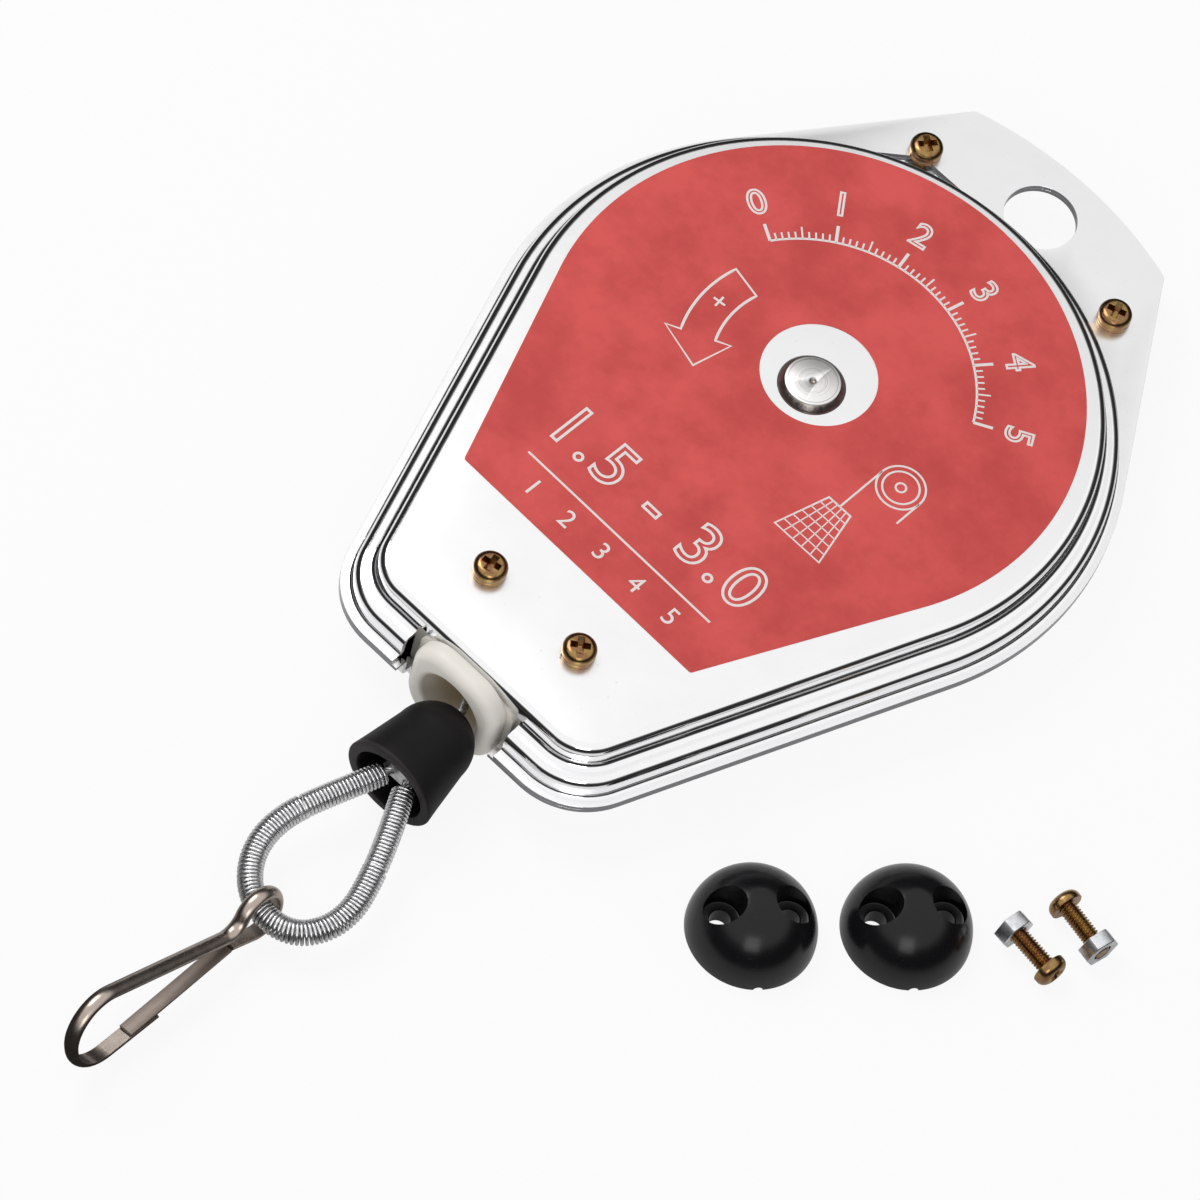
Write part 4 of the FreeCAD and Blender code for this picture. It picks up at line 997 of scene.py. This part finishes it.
def bush():
    """Bell mouth of nylon: flange inside the case, neck, rounded lip, flared throat."""
    bm = bmesh.new()
    neck_height = OPENING_HALF_HEIGHT - 0.1
    rings = [round_ring(4.2, -97.4)]
    rings += [rounded_box(*row) for row in (
        (15.3, 9.3, 3.8, -97.4), (15.4, 9.4, 3.9, -98.8), (12.8, neck_height, 3.0, -98.9),
        (12.8, neck_height, 3.0, -100.38), (11.0, 11.3, 7.5, -100.42), (11.4, 11.7, 7.9, -100.7),
        (11.5, 11.8, 8.0, -101.2))]
    for dx, dy in arc(0, 0, 2.4, 0, 90, 8):
        inset = 2.4 - dx
        rings.append(rounded_box(11.5 - inset, 11.8 - inset, 8.0 - inset, -102.6 - dy))
    rings += [round_ring(8.6 - dx, -103.8 - dy) for dx, dy in arc(0, 0, 1.2, 90, 10, 6)]
    throat = ((6.7, -102.8), (5.6, -101.0), (4.6, -99.2), (4.25, -98.2))
    rings += [round_ring(radius, y) for radius, y in throat]
    edges = [loop(bm, ring) for ring in rings]
    skin(bm, edges + edges[:1])
    bmesh.ops.recalc_face_normals(bm, faces=bm.faces)
    return bm


def stopper():
    """Bell of rubber with its deep hollow, drawn along Z from the centre of the dome."""
    outer = arc(0, 0, 8.8, -73, 0, 22) + [(9.3, 3.2), (9.8, 6.4), (10.3, 9.6)]
    outer += arc(10.28, 12.3, 0.5, 0, 90, 4)
    inner = arc(8.6, 12.6, 0.2, 90, 180, 3) + [(8.4, 8.0)] + arc(6.4, 3.8, 2.0, 0, -90, 6)
    inner += [(1.3, 1.8), (1.27, -4.0), (1.5, -6.6)]
    turn = Vector((0, 0, 1)).rotation_difference(STOPPER_WAY)
    place = Matrix.Translation(DOME_CENTRE) @ turn.to_matrix().to_4x4()
    return moved(lathe(outer + inner, 72, True), place)


# Cable, loop and their springs

def smooth_line(points):
    """Points read from a smooth spline that has those points as its control points."""
    data = bpy.data.curves.new("route", "CURVE")
    data.dimensions = "3D"
    data.resolution_u = 24
    spline = data.splines.new("NURBS")
    spline.points.add(len(points) - 1)
    for point, place in zip(spline.points, points):
        point.co = (*place, 1)
    spline.order_u = 3
    spline.use_endpoint_u = True
    obj = bpy.data.objects.new("route", data)
    bpy.context.scene.collection.objects.link(obj)
    bpy.context.view_layer.update()
    made = bpy.data.meshes.new_from_object(obj.evaluated_get(bpy.context.evaluated_depsgraph_get()))
    line = [v.co.copy() for v in made.vertices]
    bpy.data.objects.remove(obj)
    bpy.data.curves.remove(data)
    bpy.data.meshes.remove(made)
    return line


class Route:
    """A line in space that other lines are wound round."""

    def __init__(self, points):
        self.points = [points[0]]
        for point in points[1:]:
            if (point - self.points[-1]).length > 1e-4:
                self.points.append(point)
        self.far = [0.0]
        for a, b in zip(self.points, self.points[1:]):
            self.far.append(self.far[-1] + (b - a).length)
        self.sides = []
        side = None
        for i in range(len(self.points)):
            a = self.points[max(0, i - 1)]
            b = self.points[min(len(self.points) - 1, i + 1)]
            way = (b - a).normalized()
            if side is None:
                side = way.orthogonal().normalized()
            side = (side - way * side.dot(way)).normalized()
            self.sides.append((side, way.cross(side)))

    def length(self):
        return self.far[-1]

    def nearest(self, place):
        """How far along the line comes nearest to a place."""
        best = min(range(len(self.points)), key=lambda i: (self.points[i] - place).length)
        return self.far[best]

    def wound(self, first, last, radius, pitch, start=0.0, per_turn=14):
        """Points of a helix round the line between two distances along it."""
        found = []
        count = max(2, round((last - first) / pitch * per_turn))
        index = 0
        for k in range(count + 1):
            s = first + (last - first) * k / count
            while index < len(self.far) - 2 and self.far[index + 1] < s:
                index += 1
            share = (s - self.far[index]) / (self.far[index + 1] - self.far[index])
            centre = self.points[index].lerp(self.points[index + 1], share)
            u = self.sides[index][0].lerp(self.sides[index + 1][0], share).normalized()
            v = self.sides[index][1].lerp(self.sides[index + 1][1], share).normalized()
            turn = start + 2 * math.pi * (s - first) / pitch
            found.append(centre + (u * math.cos(turn) + v * math.sin(turn)) * radius)
        return found


def wire(lines, radius):
    """Round wires along lists of points, with their ends closed."""
    data = tubes("wire", lines, radius)
    data.use_fill_caps = True
    return outlined(data)


def rope(route):
    """Wire rope all along a line: six strands laid round a core."""
    end, lay, strand_radius = route.length(), 7.0, 0.335
    strands = [route.wound(0, end, 0.655, lay, i * math.pi / 3, 12) for i in range(6)]
    return wire(strands + [route.wound(0, end, 0.0, lay, 0.0, 6)], strand_radius)


def loop_route():
    """The loop's own line."""
    points = [(x, LOOP_START.y - y, LOOP_START.z - LOOP_SLOPE * y) for x, y in LOOP_ROUTE]
    return points, Route(smooth_line(points))


# Hook

def hook_matrix():
    """Place of what is drawn in the hook's plane: X along, Y up, Z across."""
    lean = math.radians(HOOK_LEAN)
    along = Vector((0, -1, 0))
    up = Vector((-math.sin(lean), 0, math.cos(lean)))
    across = along.cross(up)
    turn = Matrix((along, up, across)).transposed().to_4x4()
    return Matrix.Translation(HOOK_ORIGIN) @ turn


def hook():
    """Half-round strip: nose lip, bend, back, neck and eye."""
    bm = bmesh.new()
    half = 1.56
    nose_length, back_length, tail_length = 13.1, 32.529, 7.166
    section = arc(0, -1.127, 1.927, 25, 155, 12)
    section += [(-1.72, -0.62), (-half, -0.8), (half, -0.8), (1.72, -0.62)]
    nose_way = Vector((math.cos(math.radians(2)), math.sin(math.radians(2)), 0))
    outward = Vector((nose_way.y, -nose_way.x, 0))
    start = Vector((21.022, 1.648, 0))
    edges = loop(bm, [start + outward * out + Vector((0, 0, side)) for side, out in section])
    edges = run_on(bm, edges, nose_way * nose_length)
    edges = bend_on(bm, edges, (33.8, 11.1, 0), 88.0, 22)
    edges = run_on(bm, edges, (0, 0.8, 0))
    edges = bend_on(bm, edges, (34.5, 11.9, 0), 112.5, 26)
    back = Vector((-math.cos(math.radians(22.5)), -math.sin(math.radians(22.5)), 0))
    for _ in range(4):
        edges = run_on(bm, edges, back * back_length / 4)
    edges = bend_on(bm, edges, (-0.2597, 10.8155, 0), -79.2, 14)
    edges = bend_on(bm, edges, (-8.2, 5.6, 0), 260.87, 48)
    tail = math.radians(24.167)
    run_on(bm, edges, (tail_length * math.cos(tail), tail_length * math.sin(tail), 0))
    close_ends(bm)
    for f in bm.faces:
        if len(f.verts) == 4 and all(abs(abs(v.co.z) - half) < 0.02 for v in f.verts):
            f.material_index = 1
    return moved(bm, hook_matrix())


def gate():
    """Spring tongue that closes the hook, its edges eased."""
    bm = bmesh.new()
    root, rest, half, width = (1.0, 3.7), (28.073, 3.165), 0.35, 3.3
    heading = math.degrees(math.atan2(rest[1] - root[1], rest[0] - root[0]))
    points = arc(*rest, half, heading - 90, heading + 90, 6)
    points += arc(*root, half, heading + 90, heading + 270, 6)
    verts = [bm.verts.new((x, y, -width / 2)) for x, y in points]
    face = bm.faces.new(verts)
    made = bmesh.ops.extrude_face_region(bm, geom=[face])["geom"]
    far_side = [item for item in made if isinstance(item, bmesh.types.BMVert)]
    bmesh.ops.translate(bm, vec=(0, 0, width), verts=far_side)
    bmesh.ops.recalc_face_normals(bm, faces=bm.faces)
    soften(bm, 0.12, 60, 2)
    return moved(bm, hook_matrix())


# Stop ball

def ball_half(centre):
    """Half ball with two counterbored holes, a cable groove and a faint dimple on top."""
    bm = bmesh.new()
    bmesh.ops.create_uvsphere(bm, u_segments=112, v_segments=72, radius=BALL_RADIUS)
    bmesh.ops.bisect_plane(bm, geom=bm.verts[:] + bm.edges[:] + bm.faces[:], dist=1e-5,
                           plane_co=(0, 0, 0), plane_no=(0, 0, 1), clear_inner=True)
    dimple_radius, dimple_depth = 2.4, 0.16
    for v in bm.verts:
        from_axis = math.hypot(v.co.x, v.co.y)
        if from_axis < dimple_radius:
            v.co.z -= dimple_depth * (1 - from_axis / dimple_radius) ** 0.6
    close_ends(bm)
    bore = [(0, 15.0), (4.1, 15.0), (4.1, 4.75), (4.0, 4.5), (3.75, 4.4), (2.45, 4.4), (2.25, 4.2),
            (2.25, -1.0), (0, -1.0)]
    cutters = [moved(lathe(bore, 48), at_place(x, 0)) for x in (-7.0, 7.0)]
    groove = lathe([(0, -20.0), (0.95, -20.0), (0.95, 20.0), (0, 20.0)], 24)
    cutters.append(moved(groove, Matrix.Rotation(math.radians(90), 4, "X")))
    half = cut_away("ball_half", bm, cutters)
    return moved(half, at_place(*centre, TABLE_Z, BALL_TURN))


# Settings

def length(name, description, default):
    """A setting in metres."""
    return bpy.props.FloatProperty(
        name=name, description=description, default=default, min=0.00005, unit="LENGTH")


def shade(name, description, default):
    """A setting for a colour."""
    return bpy.props.FloatVectorProperty(
        name=name, description=description, subtype="COLOR", size=3, default=default, min=0.0, max=1.0)


class BalancerSizes(bpy.types.PropertyGroup):
    """Small sizes that a user may want to change."""

    sheet: length("Sheet", "Thickness of the pressed covers", 0.001)
    label: length("Label", "Thickness of the front label", LABEL_THICKNESS * MM)
    wire: length("Spring wire", "Diameter of the wire of the loop's springs", 0.00074)
    pitch: length("Spring pitch", "Distance from turn to turn of the loop's springs", 0.00082)


class BalancerColours(bpy.types.PropertyGroup):
    """Colours that a user may want to change."""

    label_red: shade("Label red", "Film of the front label", (0.67, 0.070, 0.063))
    label_print: shade("Label print", "Ink of the front label", (0.88, 0.83, 0.81))
    floor: shade("Floor", "Pale floor under the object", (0.86, 0.86, 0.86))


# Pieces

class BALANCER_OT_covers(bpy.types.Operator):
    """Press the front and rear covers"""

    bl_idname = "balancer.covers"
    bl_label = "Case covers"

    def execute(self, context):
        sizes = context.scene.balancer_sizes
        press = [("SOLIDIFY", {"thickness": sizes.sheet, "offset": -1.0, "use_even_offset": True}),
                 ("BEVEL", {"width": 0.00012, "segments": 1, "limit_method": "ANGLE",
                            "angle_limit": math.radians(60), "use_clamp_overlap": True})]
        for name, node, side, opening in (("case_front", "front_cover", 1, FRONT_OPENING),
                                          ("case_rear", "rear_cover", -1, REAR_OPENING)):
            piece(name, cover(side, opening), "case", "chrome", (node,), "cover_chrome", modifiers=press)
        return {"FINISHED"}


class BALANCER_OT_label(bpy.types.Operator):
    """Stick on the red label and print it with a scale, numbers and signs"""

    bl_idname = "balancer.label"
    bl_label = "Front label"

    def execute(self, context):
        sizes = context.scene.balancer_sizes
        film = [("SOLIDIFY", {"thickness": sizes.label, "offset": -1.0})]
        piece("label_film", label_sheet(), "case", "red", ("front_label",), "label_red", modifiers=film)
        height = FACE_Z + sizes.label / MM + 0.004
        for name, maker in (("print_scale", dial), ("print_arrow", turn_arrow),
                            ("print_weight", weight_sign), ("print_numbers", load_numbers)):
            piece(name, moved(maker(), Matrix.Translation((0, 0, height))), "case", "print")
        return {"FINISHED"}


class BALANCER_OT_fasteners(bpy.types.Operator):
    """Screws, spring washers and nuts of the case"""

    bl_idname = "balancer.fasteners"
    bl_label = "Case fasteners"

    def execute(self, context):
        washers = []
        for name, node, places, shank, seat, gap_turn in (
                ("case_screw_pair", "case_screws", CASE_SCREWS, 22.0, FACE_Z, 200),
                ("tab_screw_pair", "tab_screws", TAB_SCREWS, 8.0, FLANGE_Z, 160)):
            screws = []
            for x, y, turn in places:
                screws.append(moved(screw(shank), at_place(x, y, seat + WASHER_HEIGHT, turn)))
                washers.append(moved(split_washer(), at_place(x, y, seat, gap_turn + turn)))
            piece(name, gathered(screws), "case", "screw", (node,), "screw_zinc")
        piece("split_washers", gathered(washers), "case", "screw", ("spring_washers",), "screw_zinc")
        eased("tab_nuts", "tab_nut_pair", "case", "nut", "nut_zinc")
        return {"FINISHED"}


class BALANCER_OT_bush(bpy.types.Operator):
    """Mould the ivory bush that guides the cable"""

    bl_idname = "balancer.bush"
    bl_label = "Cable guide bush"

    def execute(self, context):
        piece("guide_bush", bush(), "case", "nylon", ("cable_guide_bush",), "bush_nylon", angle=50)
        return {"FINISHED"}


class BALANCER_OT_ratchet(bpy.types.Operator):
    """Shaft, ratchet wheel, pawl and their pins"""

    bl_idname = "balancer.ratchet"
    bl_label = "Shaft and ratchet"

    def execute(self, context):
        for node, name, body, look, slot, edge in (
                ("drum_shaft", "shaft", "arbor", "shaft", "shaft_nickel", 0.06),
                ("ratchet_wheel", "ratchet", "arbor", "ratchet", "ratchet_steel", 0.12),
                ("ratchet_clip", "clip", "arbor", "spring", "spring_steel", 0.06),
                ("pawl", "ratchet_pawl", "pawl", "ratchet", "ratchet_steel", 0.12),
                ("pawl_pin", "pawl_rivet", "case", "steel", "inner_steel", 0.12),
                ("pawl_spring_post", "spring_rivet", "case", "steel", "inner_steel", 0.08),
                ("pawl_spring", "pawl_leaf", "case", "spring", "spring_steel", 0.05)):
            eased(node, name, body, look, slot, edge)
        return {"FINISHED"}


class BALANCER_OT_stopper(bpy.types.Operator):
    """Rubber stopper on the end of the cable"""

    bl_idname = "balancer.stopper"
    bl_label = "Rubber stopper"

    def execute(self, context):
        piece("bell_stopper", stopper(), "cable_end", "rubber", ("rubber_stopper",), "stopper_rubber")
        return {"FINISHED"}


class BALANCER_OT_loop(bpy.types.Operator):
    """Wire rope, its ferrule, and the loop with its three springs"""

    bl_idname = "balancer.loop"
    bl_label = "Cable and loop"

    def execute(self, context):
        sizes = context.scene.balancer_sizes
        radius = sizes.wire / MM / 2
        pitch = sizes.pitch / MM
        way = CABLE_END - CABLE_START

        def on_cable(y):
            return CABLE_START + way * ((y - CABLE_START.y) / way.y)

        in_bush = Route([on_cable(-97.0), on_cable(-99.0), on_cable(-101.0)])
        piece("rope_in_bush", rope(in_bush), "cable_mouth", "rope", ("cable_in_bush",), "cable_steel",
              angle=60)
        tail = Route([on_cable(-101.0), CABLE_END, DOME_CENTRE + STOPPER_WAY * 6.9])
        piece("rope_tail", rope(tail), "cable_end", "rope", ("cable_tail",), "cable_steel", angle=60)
        eased("loop_ferrule", "ferrule", "cable_end", "ferrule", "ferrule_aluminium", 0.25)
        points, route = loop_route()
        middle = [Vector(p) for p in points]
        piece("rope_loop", rope(route), "cable_end", "rope", ("loop_cable",), "cable_steel", angle=60)
        left_start = route.nearest(middle[1])
        left_end = route.nearest((middle[3] + middle[4]) / 2)
        right_start = route.nearest((middle[12] + middle[13]) / 2)
        right_end = route.nearest(middle[15])
        for name, node, first, last, coil in (
                ("coil_left", "loop_spring_left", left_start, left_end, 2.6),
                ("coil_lower", "loop_spring_lower", left_end, right_start, 2.7),
                ("coil_right", "loop_spring_right", right_start, right_end, 2.6)):
            turns = route.wound(first, last, coil - radius, pitch)
            piece(name, wire([turns], radius), "cable_end", "coil", (node,), "loop_spring_steel", angle=80)
        return {"FINISHED"}


class BALANCER_OT_hook(bpy.types.Operator):
    """Snap hook and its sprung gate"""

    bl_idname = "balancer.hook"
    bl_label = "Snap hook"

    def execute(self, context):
        piece("snap_hook_strip", hook(), "hook", "hook", ("snap_hook",), "hook_nickel", angle=40,
              inner="hook_inner")
        piece("gate_tongue", gate(), "hook_gate", "hook_inner", ("hook_gate",), "hook_nickel")
        return {"FINISHED"}


class BALANCER_OT_stop_ball(bpy.types.Operator):
    """Two loose halves of the stop ball"""

    bl_idname = "balancer.stop_ball"
    bl_label = "Stop ball halves"

    def execute(self, context):
        for i, centre in enumerate(BALL_CENTRES, 1):
            node = "stop_ball_half_%d" % i
            piece("ball_half_%d" % i, ball_half(centre), node, "ball", (node,), "ball_plastic")
        return {"FINISHED"}


class BALANCER_OT_kit_screws(bpy.types.Operator):
    """Two loose screws for the stop ball, each with its nut"""

    bl_idname = "balancer.kit_screws"
    bl_label = "Stop ball screws"

    def execute(self, context):
        for i, (place, turn) in enumerate(KIT_PLACES, 1):
            body = "stop_ball_screw_%d" % i
            shape = moved(screw(12.0), lying(place, turn))
            piece("kit_screw_%d" % i, shape, body, "screw", (body,), "screw_zinc")
            eased("stop_ball_nut_%d" % i, "kit_nut_%d" % i, body, "nut", "nut_zinc", 0.15)
        return {"FINISHED"}


class BALANCER_OT_inner(bpy.types.Operator):
    """Give every node that shows as it is its finish"""

    bl_idname = "balancer.inner"
    bl_label = "Inner parts"

    def execute(self, context):
        chosen = {
            "case_nuts": "nut", "case_spacers": "steel", "front_bearing": "bronze", "rear_bearing": "bronze",
            "spring_arbor": "steel", "arbor_pin": "steel", "cable_drum": "drum", "drum_cover": "steel",
            "drum_cover_screws": "screw", "drum_bearing_rear": "bronze", "drum_bearing_front": "bronze",
            "power_spring": "spring", "spring_anchor_pin": "steel", "cable_anchor": "ferrule",
            "wound_cable": "rope", "cable_run": "rope"}
        for node, name in chosen.items():
            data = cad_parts[node].data
            data.materials.clear()
            data.materials.append(finish(name))
        missing = [name for name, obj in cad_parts.items()
                   if not obj.hide_render and name not in chosen]
        if missing:
            raise RuntimeError("no finish for %s" % missing)
        return {"FINISHED"}


# Stage

LIGHT_AIM = Vector((0.02, -0.12, 0.0))
ROOM_SHADES = [(0.0, 0.02), (0.28, 0.03), (0.42, 0.12), (0.5, 0.5), (0.55, 0.94), (0.6, 1.0)]


def floor_material():
    """Pale floor: near white to the camera, greyer in mirror rays near the object and dark far from it."""
    f = Finish("floor_pale")
    plain = f.add("ShaderNodeBsdfDiffuse", {"Color": colour(bpy.context.scene.balancer_colours.floor)})
    glow = f.add("ShaderNodeEmission", {"Color": (1, 1, 1, 1), "Strength": 1.0})
    dim = f.add("ShaderNodeEmission", {"Color": (1, 1, 1, 1), "Strength": 0.03})
    rays = f.add("ShaderNodeLightPath", out="Is Camera Ray")
    glossy = rays.beside("Is Glossy Ray")
    through = rays.beside("Is Transmission Ray")
    x, y = f.parts()[:2]
    from_part = (x * x + (y + 30.0) * (y + 30.0)).root()
    beyond = f.band(from_part, 105.0, 170.0)
    lit = f.mixed((rays * 0.9).at_least(glossy * 0.3).at_least(through * 0.8), plain, glow)
    f.end(f.mixed(beyond * glossy, lit, dim))
    return f.material


def light(name, place, size, power):
    """Soft square lamp that looks at the middle of the object."""
    data = bpy.data.lights.new(name, "AREA")
    data.shape = "RECTANGLE"
    data.size = data.size_y = size
    data.energy = power
    obj = linked(name, data)
    obj.location = place
    obj.rotation_euler = (LIGHT_AIM - Vector(place)).to_track_quat("-Z", "Y").to_euler()


def surroundings(scene):
    """Room that mirrors see bright overhead and dark low down, matt things soft, the camera white."""
    world = bpy.data.worlds.new("studio")
    scene.world = world
    f = Shading(world)
    rays = f.add("ShaderNodeLightPath", out="Is Camera Ray")
    direct = rays.at_least(rays.beside("Is Transmission Ray"))
    seen = direct.at_least(rays.beside("Is Glossy Ray"))
    x, y, height = f.split(f.add("ShaderNodeTexCoord", out="Generated"))
    aside = y * 0.62 - x * 0.78
    ramp = f.add("ShaderNodeValToRGB", {0: height - aside.at_least(0.0) * 0.3})
    elements = ramp.socket.node.color_ramp.elements
    while len(elements) < len(ROOM_SHADES):
        elements.new(0.5)
    for element, (place, grey) in zip(elements, ROOM_SHADES):
        element.position = place
        element.color = (grey, grey, grey, 1)
    soft = f.add("ShaderNodeBackground", {"Color": (1, 1, 1, 1), "Strength": 0.5})
    shown = f.add("ShaderNodeBackground", {"Color": f.blend(direct, ramp, (1, 1, 1)), "Strength": 1.0})
    f.end(f.mixed(seen, soft, shown), "ShaderNodeOutputWorld")


class BALANCER_OT_stage(bpy.types.Operator):
    """Floor, soft light and the camera at the photograph's angle"""

    bl_idname = "balancer.stage"
    bl_label = "Stage"

    def execute(self, context):
        scene = context.scene
        bm = bmesh.new()
        bmesh.ops.create_grid(bm, x_segments=1, y_segments=1, size=3.0)
        bmesh.ops.translate(bm, vec=(0, 0, TABLE_Z * MM - 0.00002), verts=bm.verts)
        floor = linked("floor", as_mesh("floor", bm))
        floor.data.materials.append(floor_material())
        surroundings(scene)
        light("key", (-0.55, -0.15, 0.75), 0.5, 3.2)
        light("fill", (0.55, -0.75, 0.55), 0.4, 1.2)

        data = bpy.data.cameras.new("photo_camera")
        data.sensor_width = 36.0
        data.lens = 218.373
        data.clip_start, data.clip_end = 0.05, 20.0
        camera = linked("photo_camera", data)
        camera.location = (0.378116, -0.820321, 1.247887)
        camera.rotation_euler = [math.radians(a) for a in (30.72263, -9.19775, 43.87369)]
        scene.camera = camera
        scene.view_settings.view_transform = "Standard"
        return {"FINISHED"}


PIECES = (BALANCER_OT_covers, BALANCER_OT_label, BALANCER_OT_fasteners, BALANCER_OT_bush,
          BALANCER_OT_ratchet, BALANCER_OT_stopper, BALANCER_OT_loop, BALANCER_OT_hook,
          BALANCER_OT_stop_ball, BALANCER_OT_kit_screws, BALANCER_OT_inner, BALANCER_OT_stage)


class BALANCER_PT_panel(bpy.types.Panel):
    """Lists the pieces in the sidebar"""

    bl_idname = "BALANCER_PT_panel"
    bl_label = "Spring balancer"
    bl_space_type = "VIEW_3D"
    bl_region_type = "UI"
    bl_category = "Balancer"

    def draw(self, context):
        column = self.layout.column()
        for settings in (context.scene.balancer_sizes, context.scene.balancer_colours):
            for name in settings.bl_rna.properties.keys():
                if name not in ("rna_type", "name"):
                    column.prop(settings, name)
        for operator in PIECES:
            column.operator(operator.bl_idname)


CLASSES = (BalancerSizes, BalancerColours) + PIECES + (BALANCER_PT_panel,)


def register():
    """Make the settings, operators and panel known."""
    for cls in CLASSES:
        bpy.utils.register_class(cls)
    bpy.types.Scene.balancer_sizes = bpy.props.PointerProperty(type=BalancerSizes)
    bpy.types.Scene.balancer_colours = bpy.props.PointerProperty(type=BalancerColours)


def unregister():
    """Take them away again."""
    del bpy.types.Scene.balancer_colours
    del bpy.types.Scene.balancer_sizes
    for cls in reversed(CLASSES):
        bpy.utils.unregister_class(cls)


def main():
    """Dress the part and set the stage."""
    register()
    for operator in PIECES:
        group, name = operator.bl_idname.split(".")
        getattr(getattr(bpy.ops, group), name)()


if __name__ == "__main__":
    main()
